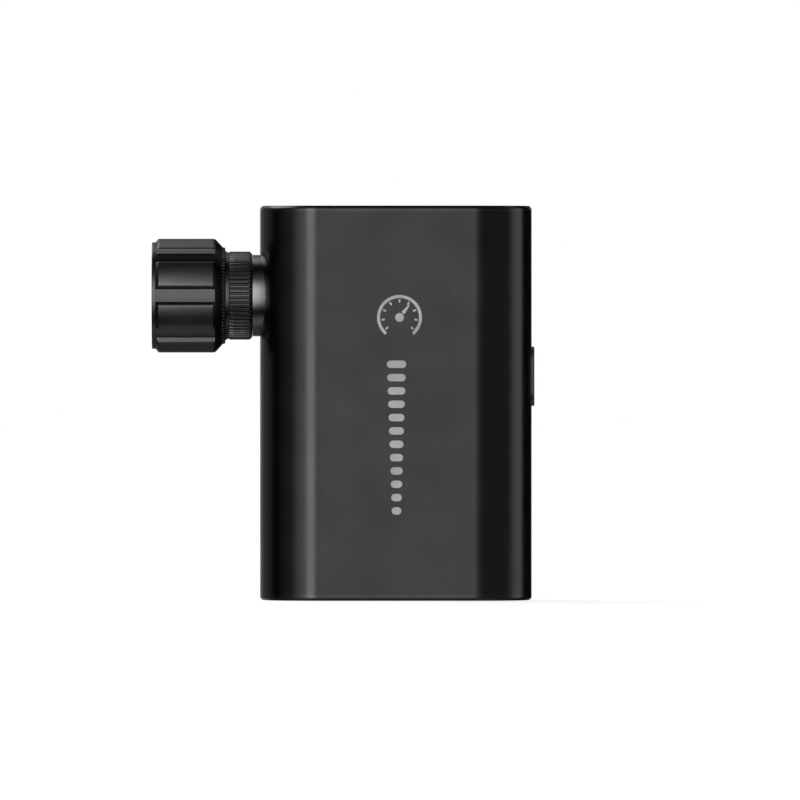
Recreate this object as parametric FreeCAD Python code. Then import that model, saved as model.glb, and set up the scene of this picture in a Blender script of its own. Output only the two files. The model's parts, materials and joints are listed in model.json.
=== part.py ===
"""Pocket electric air pump for tyres, in millimetres.

An extruded aluminium housing stands on its lower end cap. The valve chuck leaves its left
side (-X) near the top, the power button sits on its right side (+X), and the flat front
face looks towards -Y. The origin is the centre of the housing's base.

Inside, a motor turns a crank through one pair of gears. A rod drives a piston along X, and
the air leaves through a spring-loaded check valve and the neck into the chuck.
"""

import FreeCAD
import Part
import math
import os

Vector = FreeCAD.Vector
X = Vector(1, 0, 0)
Y = Vector(0, 1, 0)
Z = Vector(0, 0, 1)

# ---------------------------------------------------------------- housing
BODY_H = 65.0            # overall height
BODY_W = 44.8            # width over the rounded sides
BODY_D = 28.0            # depth, front to back
SIDE_BULGE = 9.4         # width of each rounded side
CORNER_R = 8.5           # radius where a flat face turns into a side
WALL = 1.3
CAP_FLANGE = 0.5         # end cap's visible rim
CAP_PLUG = 1.5           # end cap's plug inside the housing
CAP_EDGE = 0.4           # chamfer on the rim
SEAM = 0.05              # gap between an end cap and the housing
FIT = 0.03               # clearance of parts that seat in one another
SLIP = 0.15              # clearance of parts that drop in loosely
OVER = 1.0               # how far a cut runs past the face it opens
TINY = 1e-6
BOSS_R = 1.6             # screw channel in each corner
BOSS_TURN = 60.0         # its direction from the corner's centre, degrees
CASE_SCREW_R = 0.85      # M2, drawn at its minor diameter
CASE_SCREW_L = 7.0
CASE_HEAD_R = 1.6
CASE_HEAD_H = 0.85
RECESS_SHARE = 0.5       # hexagonal recess, of the head's radius
RECESS_DEEP = 0.6        # and of its height

# ---------------------------------------------------------------- chuck
NOZZLE_DROP = 14.8       # chuck axis below the top
NECK_R = 6.72
NECK_SHOW = 1.25         # neck seen between the housing and the cap
NECK_HOLE_GAP = 0.08
KNURL_R = 7.27
KNURL_L = 3.8
KNURL_TEETH = 60
KNURL_DEPTH = 0.33
KNURL_CREST = 0.42       # flat top of a tooth, of the pitch
KNURL_CHAMFER = 0.42
KNURL_FRONT_CHAMFER = 0.14
GROOVE_R = 7.15
GROOVE_L = 0.32
SHOULDER_R = 7.31
SHOULDER_L = 0.32
SERRATION_R = 8.03
SERRATION_TAPER = 0.14
SERRATION_L = 0.52
SERRATION_TEETH = 80
SERRATION_DEPTH = 0.16
SERRATION_CREST = 0.5
BARREL_R = 7.0           # the cap's plain barrel, under the grip
SPIGOT_R = 5.35          # thread crest on the neck
THREAD_PITCH = 1.0
THREAD_DEPTH = 0.3
THREAD_TURNS = 6
THREAD_START = 0.4
CAP_BORE_GAP = 0.1
SEAT_GAP = 0.1           # pieces that sit in the cap's bore
LIP_L = 1.1
LIP_R = 4.5
LIP_CHAMFER = 0.3
SLIP_WASHER_T = 0.6
SLIP_WASHER_R = 4.2
VALVE_GASKET_L = 5.9
VALVE_BORE_R = 3.8       # grips the 7.7 mm thread of a car-type tyre valve
VALVE_BORE_L = 4.2
SLIM_BORE_R = 2.7        # the narrow end, for slim bicycle valves
PLUNGER_T = 1.15
PLUNGER_PIN_R = 0.9
PLUNGER_HOLES = 4
PLUNGER_HOLE_R = 0.45
PLUNGER_HOLE_AT = 1.85
AIR_RECESS_R = 2.5       # lets the air reach the plunger's holes
AIR_RECESS_L = 0.4
END_GAP = 0.05           # gap between pieces stacked along the chuck

# ---------------------------------------------------------------- grip sleeve
GRIP_R = 9.55
GRIP_CONE_R = 9.38       # front edge of the sleeve's cone
GRIP_FLOOR_R = 8.8
GRIP_RIBS = 8
RIB_CREST = 11.5         # half angle of a rib's round crest, degrees
RIB_EDGE_R = 0.45
RIB_EDGE_TURN = 65.0     # how far its edge rounds over before the straight wall
GRIP_TAIL_R = 8.12       # rear end of the sleeve's cone
GRIP_CONE_L = 1.15
GRIP_RIB_L = 9.8
GRIP_NOSE_L = 0.62
GRIP_NOSE_EDGE_R = 0.2
GRIP_MOUTH_R = 4.9
GRIP_FRONT_T = 0.6
RIB_CHAMFER_L = 0.5
RIB_CHAMFER_H = 0.65
RIB_REAR_L = 0.3         # each rib's slope down to the cone's edge

# ---------------------------------------------------------------- button
BUTTON_BELOW_TOP = 28.1  # button's centre below the top
BUTTON_LONG = 9.8
BUTTON_WIDE = 4.2
BUTTON_PROUD = 0.45
BUTTON_EDGE_R = 0.18
BUTTON_RIM = 0.8         # flange that keeps the button in
BUTTON_FLANGE_T = 0.65
BUTTON_GAP = 0.12
BUTTON_FLANGE_IN = 0.4   # flange's front face behind the inner wall
BUTTON_TRAVEL = 0.35

# ---------------------------------------------------------------- pump
BORE_R = 6.0
CYLINDER_WALL = 1.2
CRANK_R = 3.5
CYLINDER_L = 12.4
HEAD_T = 2.3
HEAD_GASKET_T = 0.3
HEAD_GAP = 1.5           # from the inner wall to the head
HEAD_RIM_Y = 0.3         # head's metal beside a screw's head
HEAD_RIM_Z = 0.8         # and above or below it
HEAD_SCREW_LAND = 0.485  # from the cylinder to a screw
HEAD_SCREW_R = 0.8
HEAD_SCREW_L = 6.0
HEAD_SCREW_HEAD_R = 1.4
HEAD_SCREW_HEAD_H = 0.9
HEAD_CORNER_R = 2.5
TDC_GAP = 0.6
SEAL_GAP = 0.03
PISTON_GAP = 0.2
PISTON_L = 6.5
RETAINER_T = 0.5
WRIST_IN = 4.0           # wrist pin behind the crown
WRIST_R = 1.25
WRIST_END_IN = 1.2       # pin's ends inside the bore
WRIST_BOSS_GAP = 0.3
SLOT_HALF_Y = 4.4        # room for the rod to swing inside the piston
SEAL_IN = 0.7            # seal's groove behind the piston's face
SEAL_L = 1.2
SEAL_DEEP = 1.0
RETAINER_R = 5.4
RETAINER_STUD_R = 0.7
RETAINER_STUD_L = 1.1
ROD_L = 13.4
ROD_T = 3.5
ROD_SMALL_R = 2.4
ROD_BIG_R = 4.75
ROD_HALF_W = 1.6
ROD_RIM = 0.6            # wall around the rod's pocket
ROD_POCKET = 0.7
ROD_STEP = 0.8           # rim that the big end's bearing rests on
PIN_GAP = 0.15           # the crank pin ends this far above its disc
PIN_HEAD_R = 2.4
PIN_HEAD_T = 1.2
PIN_SLOT = 0.6           # screwdriver slot, its width and depth
BEARING_BORE_R = 1.5     # 3 x 7 x 3 mm ball bearing
BEARING_R = 3.5
BEARING_T = 3.0
BEARING_BALLS = 7
BEARING_RACE = 0.28      # thickness of each ring, of the space between bore and rim
RUNNING = 0.02
OUTLET_R = 1.2
STUB_R = 3.4
STUB_L = 1.15
CHAMBER_R = 2.6
PASSAGE_R = 1.0
POPPET_R = 2.2
POPPET_T = 0.8
POPPET_STEM_R = 0.8
POPPET_STEM_L = 2.0
POPPET_LIFT = 0.8
STEM_GAP = 0.95          # left beyond the stem at full lift
CHAMBER_L = POPPET_T + POPPET_STEM_L + POPPET_LIFT + STEM_GAP - STUB_L
SPRING_R = 1.4
SPRING_WIRE_R = 0.15
SPRING_TURNS = 5
SPRING_ARCS = 4          # arcs in each turn
O_RING_R = 0.45
O_RING_SQUEEZE = 0.8     # how flat it lies, of its free section
O_RING_AT = 4.9

# ---------------------------------------------------------------- gears and crank
MODULE = 0.5
PRESSURE = math.radians(20)
PINION_TEETH = 12
GEAR_TEETH = 38
PROFILE_SHIFT = 0.3      # added to the pinion, taken from the gear
BACKLASH = 0.08
TOOTH_ROOT = 1.25
PINION_L = 4.0
GEAR_L = 3.2
FLANK_POINTS = 5
GEAR_HOLES = 6
GEAR_HOLE_R = 1.3
GEAR_HOLE_AT = 6.6
GEAR_RISE = 0.8          # gear above the frame's plate
HUB_DROP = 0.3           # hub below the gear
PINION_RISE = 0.6
UNDER_CYLINDER = 1.5
HUB_R = 4.4
DISC_T = 1.7
DISC_R = 6.5
WEIGHT_T = 1.8
BEARING_END_GAP = 0.1
AXLE_END_GAP = 0.15
DISC_DROP = 0.55         # crank disc below the rod

# ---------------------------------------------------------------- motor
MOTOR_GAP = 0.3          # to the screw channels
MOTOR_FLOOR = 1.4        # below the motor, for its foam ring and leads
MOTOR_CAN_T = 1.0
MOTOR_BELL_L = 3.6
BELL_WALL = 1.6
BELL_FLOOR = 1.2
BELL_BOSS_DROP = 0.4
BUSHING_WALL = 1.0
BUSHING_L = 2.6
MAGNET_HALF_SPLIT = 2.5
MAGNET_OVERHANG = 0.5
MOTOR_BOSS_R = 3.0
MOTOR_BOSS_L = 1.3
SHAFT_R = 1.0
MAGNET_T = 2.0
AIR_GAP = 0.4
ARMATURE_FOOT = 5.2      # room for the commutator below the core
ARMATURE_HEAD = 5.3      # room for the end turns above it
ARMATURE_SLOTS = 5
SLOT_R = 1.9
SLOT_IN = 1.1
SLIT_HALF = 0.45
COIL_END = 2.0
COIL_GAP = 0.1
COMMUTATOR_R = 2.6
COMMUTATOR_L = 2.8
COMMUTATOR_RISE = 0.2
BRUSH_HALF = 1.0
BRUSH_REACH = 6.0
BRUSH_L = 1.8
BRUSH_GAP = 0.05
SHAFT_OVER = 0.2         # shaft above the pinion
SHAFT_UNDER = 0.6        # and below the rear cover
MOTOR_SCREW_AT = 8.0
MOTOR_SCREW_R = 1.05
MOTOR_SCREW_L = 2.2
MOTOR_SCREW_HEAD_R = 1.9
MOTOR_SCREW_HEAD_H = 1.3

# ---------------------------------------------------------------- frame, battery, board
PLATE_T = 1.6
PLATE_RIGHT = 7.5        # plate's edge to the right of the crank axis
FRAME_GAP = 0.5          # frame to the housing's inner wall
RAIL_T = 1.5
RAIL_H = 13.0
SADDLE_L = 4.6
SADDLE_PAST_HEAD = 1.3   # how much wider than the head it is, each side
SADDLE_RISE = 1.0        # saddle above the cylinder
CHEEK_IN = 1.0
SPACER_T = 1.2
SPACER_GAP = 0.4
SPACER_HOLE_R = 4.0
POST_HALF = 1.2
POST_WIDE = 2.2
POST_IN = 0.4
CLIP_T = 0.65            # clips that hold the board's foot
CLIP_Y = (5.6, 7.4)
FOAM_R = 8.4
FOAM_HOLE_R = 5.2
CELL_SIDE_GAP = 0.3      # to the screw channels
CELL_GAP = 0.2
CELL_TOP_GAP = 0.8       # below the frame's plate
CELL_FLOOR = 2.8         # above the spacer
CELL_CORNER_R = 1.2
BOARD_IN = 4.1           # board's inner face from the housing's inner wall
BOARD_T = 1.0
BOARD_HALF_Y = 7.6
BOARD_TOP_GAP = 3.4      # below the top cap's plug
BOARD_FOOT = 0.8         # above the spacer
SWITCH_T = 1.5
SWITCH_HALF = 2.25
SWITCH_PIN_R = 1.0
SWITCH_PIN_GAP = 0.08
SWITCH_PIN_IN = 0.4
SWITCH_WELL = SWITCH_PIN_IN + BUTTON_TRAVEL + SLIP
USB_LONG = 8.94
USB_THICK = 3.26
USB_L = 8.4
USB_WALL = 0.3
USB_SUNK = 0.4
USB_HOLE_GAP = 0.08
USB_BACK = 1.2
TONGUE_HALF_X = 0.35
TONGUE_HALF_Y = 3.3
TONGUE_SUNK = 0.8
LINK_Y = (5.0, 7.0)
LINK_T = 0.2
LED_Y = 6.5
LED_WIDE = 1.6
LED_TALL = 0.9
LED_T = 1.5
PIPE_R = 0.9
PIPE_FOOT = 0.4          # pipe's foot below the board's top
PIPE_OUT = 1.1           # pipe's centre from the board's face
WIRE_R = 0.45
WIRE_Y = 3.0
BEND_SHARE = 0.45        # of the shorter run, which a bend may take
VENT_COUNT = 5
VENT_LONG = 9.0
VENT_WIDE = 1.0
VENT_PITCH = 2.4
VENT_X = -5.0

# ---------------------------------------------------------------- derived places
CAP_T = CAP_FLANGE + CAP_PLUG
HALF_W = BODY_W / 2
INNER_X = HALF_W - WALL
HEAD_TAPER = (CASE_HEAD_R - CASE_SCREW_R) / CASE_HEAD_H
BOSS_SET = CASE_HEAD_R - HEAD_TAPER * (CAP_FLANGE + SEAM) + 2 * SLIP
BOSS_REACH = CORNER_R - WALL - BOSS_SET
BOSS_X = HALF_W - SIDE_BULGE + BOSS_REACH * math.cos(math.radians(BOSS_TURN))
BOSS_Y = BODY_D / 2 - CORNER_R + BOSS_REACH * math.sin(math.radians(BOSS_TURN))
NOZZLE_Z = BODY_H - NOZZLE_DROP
HEAD_FACE_X = -INNER_X + HEAD_GAP
HEAD_INNER_X = HEAD_FACE_X + HEAD_T
CYLINDER_X = HEAD_INNER_X + HEAD_GASKET_T
CYLINDER_R = BORE_R + CYLINDER_WALL
HEAD_SCREW_AT = (CYLINDER_R + HEAD_SCREW_R + HEAD_SCREW_LAND) / math.sqrt(2)
HEAD_HALF_Y = HEAD_SCREW_AT + HEAD_SCREW_HEAD_R + HEAD_RIM_Y
HEAD_HALF_Z = HEAD_SCREW_AT + HEAD_SCREW_HEAD_R + HEAD_RIM_Z
SADDLE_HALF_Y = HEAD_HALF_Y + SADDLE_PAST_HEAD
CROWN_X = CYLINDER_X + TDC_GAP
WRIST_X = CROWN_X + WRIST_IN
PIN_X = WRIST_X + ROD_L
CRANK_X = PIN_X + CRANK_R
CENTRE_DISTANCE = MODULE * (PINION_TEETH + GEAR_TEETH) / 2
MOTOR_X = CRANK_X - CENTRE_DISTANCE
PINION_TOP = NOZZLE_Z - CYLINDER_R - UNDER_CYLINDER
PLATE_TOP = PINION_TOP - PINION_L - PINION_RISE
PLATE_BOTTOM = PLATE_TOP - PLATE_T
GEAR_BOTTOM = PLATE_TOP + GEAR_RISE
DISC_TOP = NOZZLE_Z - ROD_T / 2 - DISC_DROP
DISC_BOTTOM = DISC_TOP - DISC_T
SPACER_BOTTOM = CAP_T + FIT
SPACER_TOP = SPACER_BOTTOM + SPACER_T
MOTOR_R = math.hypot(BOSS_X + MOTOR_X, BOSS_Y) - BOSS_R - MOTOR_GAP
MOTOR_BOTTOM = SPACER_TOP + MOTOR_FLOOR
ARMATURE_LOW = MOTOR_BOTTOM + MOTOR_BELL_L + ARMATURE_FOOT
ARMATURE_HIGH = PLATE_BOTTOM - MOTOR_CAN_T - ARMATURE_HEAD
ARMATURE_R = MOTOR_R - MOTOR_CAN_T - FIT - MAGNET_T - AIR_GAP
BOARD_X = INNER_X - BOARD_IN
BOARD_TOP = BODY_H - CAP_T - BOARD_TOP_GAP
BUTTON_Z = BODY_H - BUTTON_BELOW_TOP
CELL_TOP = PLATE_BOTTOM - CELL_TOP_GAP
CELL_BOTTOM = SPACER_TOP + CELL_FLOOR
CELL_H = CELL_TOP - CELL_BOTTOM
CELL_HALF_Y = BOSS_Y - BOSS_R - CELL_SIDE_GAP
CELL_LEFT = MOTOR_X + MOTOR_R + 2 * CELL_GAP
CELL_T = (BOARD_X - 2 * CELL_GAP - CELL_LEFT) / 2
USB_X = BOARD_X - USB_THICK / 2

NECK_END = -HALF_W - NECK_SHOW
CAP_REAR = NECK_END - END_GAP
KNURL_END = CAP_REAR - KNURL_L
GROOVE_END = KNURL_END - GROOVE_L
SHOULDER_END = GROOVE_END - SHOULDER_L
SERRATION_END = SHOULDER_END - SERRATION_L
GRIP_REAR = SERRATION_END
RIBS_REAR = GRIP_REAR - GRIP_CONE_L
RIBS_FRONT = RIBS_REAR - GRIP_RIB_L
GRIP_FRONT = RIBS_FRONT - GRIP_NOSE_L
CAP_FRONT = GRIP_FRONT + GRIP_FRONT_T
LIP_BACK = CAP_FRONT + LIP_L
CAP_BORE_R = SPIGOT_R + CAP_BORE_GAP
WASHER_FRONT = LIP_BACK + END_GAP
WASHER_BACK = WASHER_FRONT + SLIP_WASHER_T
GASKET_FRONT = WASHER_BACK + END_GAP
GASKET_BACK = GASKET_FRONT + VALVE_GASKET_L
PLUNGER_FRONT = GASKET_BACK + END_GAP
PLUNGER_BACK = PLUNGER_FRONT + PLUNGER_T
SPIGOT_END = PLUNGER_BACK + END_GAP


# ---------------------------------------------------------------- helpers
def rod_z(radius, low, high, x=0.0, y=0.0):
    """A cylinder along Z between two heights."""
    return Part.makeCylinder(radius, high - low, Vector(x, y, low), Z)


def rod_x(radius, left, right, y=0.0, z=None):
    """A cylinder along X between two places, on the chuck's axis unless told otherwise."""
    height = NOZZLE_Z if z is None else z
    return Part.makeCylinder(radius, right - left, Vector(left, y, height), X)


def block(x, y, z):
    """A box from three (low, high) pairs."""
    size = [high - low for low, high in (x, y, z)]
    return Part.makeBox(*size, Vector(x[0], y[0], z[0]))


def sorted_pair(a, b):
    return (min(a, b), max(a, b))


def polar(radius, degrees):
    """A point of the YZ plane, counted about the chuck's axis from the front face's direction."""
    angle = math.radians(degrees)
    return Vector(0, -radius * math.cos(angle), radius * math.sin(angle))


def polygon(points):
    return Part.makePolygon(list(points) + [points[0]])


def turned(profile):
    """Spins a profile of (x, radius) points about the chuck's axis."""
    points = [Vector(x, 0, NOZZLE_Z + radius) for x, radius in profile]
    face = Part.Face(polygon(points))
    return face.revolve(Vector(0, 0, NOZZLE_Z), X, 360)


def tooth_ring(root_r, crest_r, teeth, crest_share):
    """A closed outline in the YZ plane with straight-sided teeth."""
    pitch = 360.0 / teeth
    half = pitch * crest_share / 2
    points = []
    for i in range(teeth):
        middle = i * pitch
        points += [
            polar(root_r, middle - pitch / 2 + half / 2),
            polar(crest_r, middle - half),
            polar(crest_r, middle + half),
            polar(root_r, middle + pitch / 2 - half / 2),
        ]
    return polygon(points)


def extruded_ring(outline, left, right):
    """Carries a YZ outline along X between two places on the chuck's axis."""
    face = Part.Face(outline)
    face.translate(Vector(left, 0, NOZZLE_Z))
    return face.extrude(Vector(right - left, 0, 0))


def body_outline(inset):
    """The housing's outline in the XY plane, moved in by an inset.

    Two flat faces are joined by sides of three tangent arcs: a corner, the wide side and
    a corner. The side's radius follows from the bulge and the corner's radius.
    """
    flat = HALF_W - SIDE_BULGE
    half_d = BODY_D / 2
    side_r = (SIDE_BULGE**2 + half_d**2 - 2 * half_d * CORNER_R) / (2 * (SIDE_BULGE - CORNER_R))
    corner = Vector(flat, half_d - CORNER_R, 0)
    side = Vector(HALF_W - side_r, 0, 0)
    meet = math.atan2(corner.y - side.y, corner.x - side.x)
    corner_r = CORNER_R - inset
    middle = (meet + math.pi / 2) / 2

    def on(centre, radius, angle, sx, sy):
        point = centre + Vector(radius * math.cos(angle), radius * math.sin(angle), 0)
        return Vector(sx * point.x, sy * point.y, 0)

    edges = []
    for sx, sy in ((1, 1), (1, -1), (-1, -1), (-1, 1)):
        top = on(corner, corner_r, math.pi / 2, sx, sy)
        mid = on(corner, corner_r, middle, sx, sy)
        joint = on(side, side_r - inset, meet, sx, sy)
        if sx * sy > 0:
            edges.append(Part.Arc(top, mid, joint).toShape())
            far = on(side, side_r - inset, meet, sx, -sy)
            tip = Vector(sx * (HALF_W - inset), 0, 0)
            edges.append(Part.Arc(joint, tip, far).toShape())
        else:
            edges.append(Part.Arc(joint, mid, top).toShape())
            far = on(corner, corner_r, math.pi / 2, -sx, sy)
            edges.append(Part.LineSegment(top, far).toShape())
    return Part.Wire(Part.__sortEdges__(edges))


def body_prism(inset, low, high):
    face = Part.Face(body_outline(inset))
    face.translate(Vector(0, 0, low))
    return face.extrude(Vector(0, 0, high - low))


def boss_places():
    """Where the four screw channels stand."""
    return [(sx * BOSS_X, sy * BOSS_Y) for sx in (-1, 1) for sy in (-1, 1)]


def bosses(radius, low, high):
    return [rod_z(radius, low, high, x, y) for x, y in boss_places()]


def stadium_x(long_z, wide_y, left, right, z):
    """A bar along X whose section is a stadium, long in Z."""
    half = (long_z - wide_y) / 2
    bar = block((left, right), (-wide_y / 2, wide_y / 2), (z - half, z + half))
    for end in (z - half, z + half):
        bar = bar.fuse(rod_x(wide_y / 2, left, right, 0, end))
    return bar.removeSplitter()


def stadium_z(long_y, wide_x, low, high, x):
    """A bar along Z whose section is a stadium, long in Y."""
    half = (long_y - wide_x) / 2
    bar = block((x - wide_x / 2, x + wide_x / 2), (-half, half), (low, high))
    for end in (-half, half):
        bar = bar.fuse(rod_z(wide_x / 2, low, high, x, end))
    return bar.removeSplitter()


def bearing(x, y, low):
    """A ball bearing about Z: inner ring, outer ring and balls, as separate solids."""
    span = BEARING_R - BEARING_BORE_R
    inner_r = BEARING_BORE_R + BEARING_RACE * span
    outer_r = BEARING_R - BEARING_RACE * span
    high = low + BEARING_T
    bore = rod_z(BEARING_BORE_R + RUNNING, low, high, x, y)
    inner = rod_z(inner_r, low, high, x, y).cut(bore)
    outer = rod_z(BEARING_R - RUNNING, low, high, x, y).cut(rod_z(outer_r, low, high, x, y))
    track = (inner_r + outer_r) / 2
    ball_r = (outer_r - inner_r) / 2 - RUNNING
    balls = []
    for i in range(BEARING_BALLS):
        angle = 2 * math.pi * i / BEARING_BALLS
        place = Vector(x + track * math.cos(angle), y + track * math.sin(angle), (low + high) / 2)
        balls.append(Part.makeSphere(ball_r, place))
    return [inner, outer] + balls


def screw(place, direction, head_r, head_h, shank_r, length, countersunk=False):
    """A screw whose head's top is at place and whose shank runs along direction."""
    if countersunk:
        head = Part.makeCone(head_r, shank_r, head_h)
    else:
        head = Part.makeCylinder(head_r, head_h)
    body = head.fuse(Part.makeCylinder(shank_r, length))
    recess_r = head_r * RECESS_SHARE
    recess = [Vector(recess_r, 0, 0)]
    for i in range(1, 6):
        angle = math.radians(60 * i)
        recess.append(Vector(recess_r * math.cos(angle), recess_r * math.sin(angle), 0))
    body = body.cut(Part.Face(polygon(recess)).extrude(Vector(0, 0, head_h * RECESS_DEEP)))
    body.Placement = FreeCAD.Placement(place, FreeCAD.Rotation(Z, direction))
    return body


def involute_gear(teeth, shift, low, high, x, first_tooth):
    """A spur gear about Z with involute flanks, its first tooth at an angle in degrees."""
    pitch_r = MODULE * teeth / 2
    base_r = pitch_r * math.cos(PRESSURE)
    tip_r = pitch_r + MODULE * (1 + shift)
    root_r = pitch_r - MODULE * (TOOTH_ROOT - shift)
    thick = MODULE * (math.pi / 2 + 2 * shift * math.tan(PRESSURE)) - BACKLASH / 2
    half = thick / (2 * pitch_r) + math.tan(PRESSURE) - PRESSURE

    def half_angle(radius):
        if radius <= base_r:
            return half
        at = math.acos(base_r / radius)
        return half - (math.tan(at) - at)

    start_r = max(base_r, root_r)
    steps = FLANK_POINTS - 1
    radii = [start_r + (tip_r - start_r) * i / steps for i in range(FLANK_POINTS)]
    edges = []
    for i in range(teeth):
        middle = math.radians(first_tooth) + 2 * math.pi * i / teeth

        def at(radius, angle):
            return Vector(x + radius * math.cos(angle), radius * math.sin(angle), low)

        rising = [at(r, middle - half_angle(r)) for r in radii]
        falling = [at(r, middle + half_angle(r)) for r in reversed(radii)]
        foot_a = at(root_r, middle - half)
        foot_b = at(root_r, middle + half)
        following = middle + 2 * math.pi / teeth
        for points in (rising, falling):
            curve = Part.BSplineCurve()
            curve.interpolate(points)
            edges.append(curve.toShape())
        if root_r < base_r:
            edges.append(Part.LineSegment(foot_a, rising[0]).toShape())
            edges.append(Part.LineSegment(falling[-1], foot_b).toShape())
        edges.append(Part.Arc(rising[-1], at(tip_r, middle), falling[0]).toShape())
        gap_end = at(root_r, following - half)
        edges.append(Part.Arc(foot_b, at(root_r, (middle + following) / 2), gap_end).toShape())
    wire = Part.Wire(Part.__sortEdges__(edges))
    return Part.Face(wire).extrude(Vector(0, 0, high - low))


def wire_tube(points, radius):
    """A wire's tube: straight runs joined by arcs as large as the runs allow."""
    edges = []
    radii = []
    last = points[0]
    for before, corner, after in zip(points, points[1:], points[2:]):
        back = (before - corner).normalize()
        ahead = (after - corner).normalize()
        turn = math.pi - back.getAngle(ahead)
        cut = BEND_SHARE * min((before - corner).Length, (after - corner).Length)
        bend_r = cut / math.tan(turn / 2)
        radii.append(bend_r)
        inward = (back + ahead).normalize()
        middle = corner + inward * (bend_r / math.cos(turn / 2) - bend_r)
        enter = corner + back * cut
        leave = corner + ahead * cut
        edges.append(Part.LineSegment(last, enter).toShape())
        edges.append(Part.Arc(enter, middle, leave).toShape())
        last = leave
    edges.append(Part.LineSegment(last, points[-1]).toShape())
    path = Part.Wire(edges)
    circle = Part.Circle(points[0], points[1] - points[0], radius).toShape()
    tube = path.makePipeShell([Part.Wire(circle)], True, True)
    expected = math.pi * radius**2 * path.Length
    print(f"wire radii {[round(r, 2) for r in radii]}, volume ratio {tube.Volume / expected:.3f}")
    return tube


# ---------------------------------------------------------------- housing
def make_housing_shell():
    low = CAP_FLANGE + SEAM
    high = BODY_H - CAP_FLANGE - SEAM
    outer = body_prism(0, low, high)
    shell = outer.cut(body_prism(WALL, low, high))
    channel_low = CAP_T + SEAM
    channel_high = BODY_H - CAP_T - SEAM
    for post in bosses(BOSS_R, channel_low, channel_high):
        shell = shell.fuse(post.common(outer))
    for pilot in bosses(CASE_SCREW_R + FIT, channel_low, channel_high):
        shell = shell.cut(pilot)
    shell = shell.cut(rod_x(NECK_R + NECK_HOLE_GAP, -HALF_W - OVER, -INNER_X + WALL))
    around = 2 * BUTTON_GAP
    slot = stadium_x(BUTTON_LONG + around, BUTTON_WIDE + around, INNER_X - WALL, HALF_W + OVER, BUTTON_Z)
    return shell.cut(slot).removeSplitter()


def case_screw_seat(x, y, top, direction):
    """The hole and countersink that one case screw needs in an end cap."""
    cone = Part.makeCone(CASE_HEAD_R + FIT, CASE_SCREW_R + FIT, CASE_HEAD_H)
    hole = cone.fuse(Part.makeCylinder(CASE_SCREW_R + FIT, CAP_T + OVER))
    hole.Placement = FreeCAD.Placement(Vector(x, y, top), FreeCAD.Rotation(Z, direction))
    return hole


def end_cap(outer_z, inward):
    """A plain end cap: a rim as wide as the housing and a plug inside it."""
    rim_z = sorted((outer_z, outer_z + inward * CAP_FLANGE))
    plug_z = sorted((outer_z + inward * CAP_FLANGE, outer_z + inward * CAP_T))
    rim = body_prism(0, *rim_z)
    edges = [e for e in rim.Edges if all(abs(v.Z - outer_z) < TINY for v in e.Vertexes)]
    rim = rim.makeChamfer(CAP_EDGE, edges)
    cap = rim.fuse(body_prism(WALL + SLIP, *plug_z)).removeSplitter()
    for x, y in boss_places():
        cap = cap.cut(case_screw_seat(x, y, outer_z, Vector(0, 0, inward)))
    return cap


def make_top_cap():
    cap = end_cap(BODY_H, -1)
    low = BODY_H - CAP_T - OVER
    high = BODY_H + OVER
    hole_gap = 2 * USB_HOLE_GAP
    cap = cap.cut(stadium_z(USB_LONG + hole_gap, USB_THICK + hole_gap, low, high, USB_X))
    cap = cap.cut(rod_z(PIPE_R + FIT, low, high, BOARD_X - PIPE_OUT, LED_Y))
    for i in range(VENT_COUNT):
        x = VENT_X + (i - (VENT_COUNT - 1) / 2) * VENT_PITCH
        cap = cap.cut(stadium_z(VENT_LONG, VENT_WIDE, low, high, x))
    return cap


def make_bottom_cap():
    return end_cap(0, 1)


def case_screws(top, direction):
    return [
        screw(Vector(x, y, top), direction, CASE_HEAD_R, CASE_HEAD_H, CASE_SCREW_R, CASE_SCREW_L, True)
        for x, y in boss_places()
    ]


# ---------------------------------------------------------------- chuck
def make_outlet_neck():
    """Neck, threaded spigot and the stub that seats in the cylinder head."""
    profile = [
        (HEAD_FACE_X + STUB_L, 0),
        (HEAD_FACE_X + STUB_L, STUB_R),
        (HEAD_FACE_X, STUB_R),
        (HEAD_FACE_X, NECK_R),
        (NECK_END, NECK_R),
        (NECK_END, SPIGOT_R - THREAD_DEPTH),
    ]
    start = NECK_END - THREAD_START
    for i in range(THREAD_TURNS):
        root = start - i * THREAD_PITCH
        profile += [(root, SPIGOT_R - THREAD_DEPTH), (root - THREAD_PITCH / 2, SPIGOT_R)]
    last = start - THREAD_TURNS * THREAD_PITCH
    profile += [(last, SPIGOT_R - THREAD_DEPTH), (SPIGOT_END, SPIGOT_R - THREAD_DEPTH), (SPIGOT_END, 0)]
    neck = turned(profile)
    stub_end = HEAD_FACE_X + STUB_L
    track = O_RING_AT - O_RING_R
    floor = HEAD_FACE_X - 2 * O_RING_SQUEEZE * O_RING_R
    groove = rod_x(track + 2 * O_RING_R, floor, HEAD_FACE_X).cut(rod_x(track, floor, HEAD_FACE_X))
    return neck.cut([
        rod_x(CHAMBER_R, HEAD_FACE_X - CHAMBER_L, stub_end),
        rod_x(PASSAGE_R, SPIGOT_END, stub_end),
        rod_x(AIR_RECESS_R, SPIGOT_END, SPIGOT_END + AIR_RECESS_L),
        groove,
    ])


def make_neck_o_ring():
    section_r = O_RING_SQUEEZE * O_RING_R
    return Part.makeTorus(O_RING_AT, section_r - FIT, Vector(HEAD_FACE_X - section_r, 0, NOZZLE_Z), X)


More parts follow.
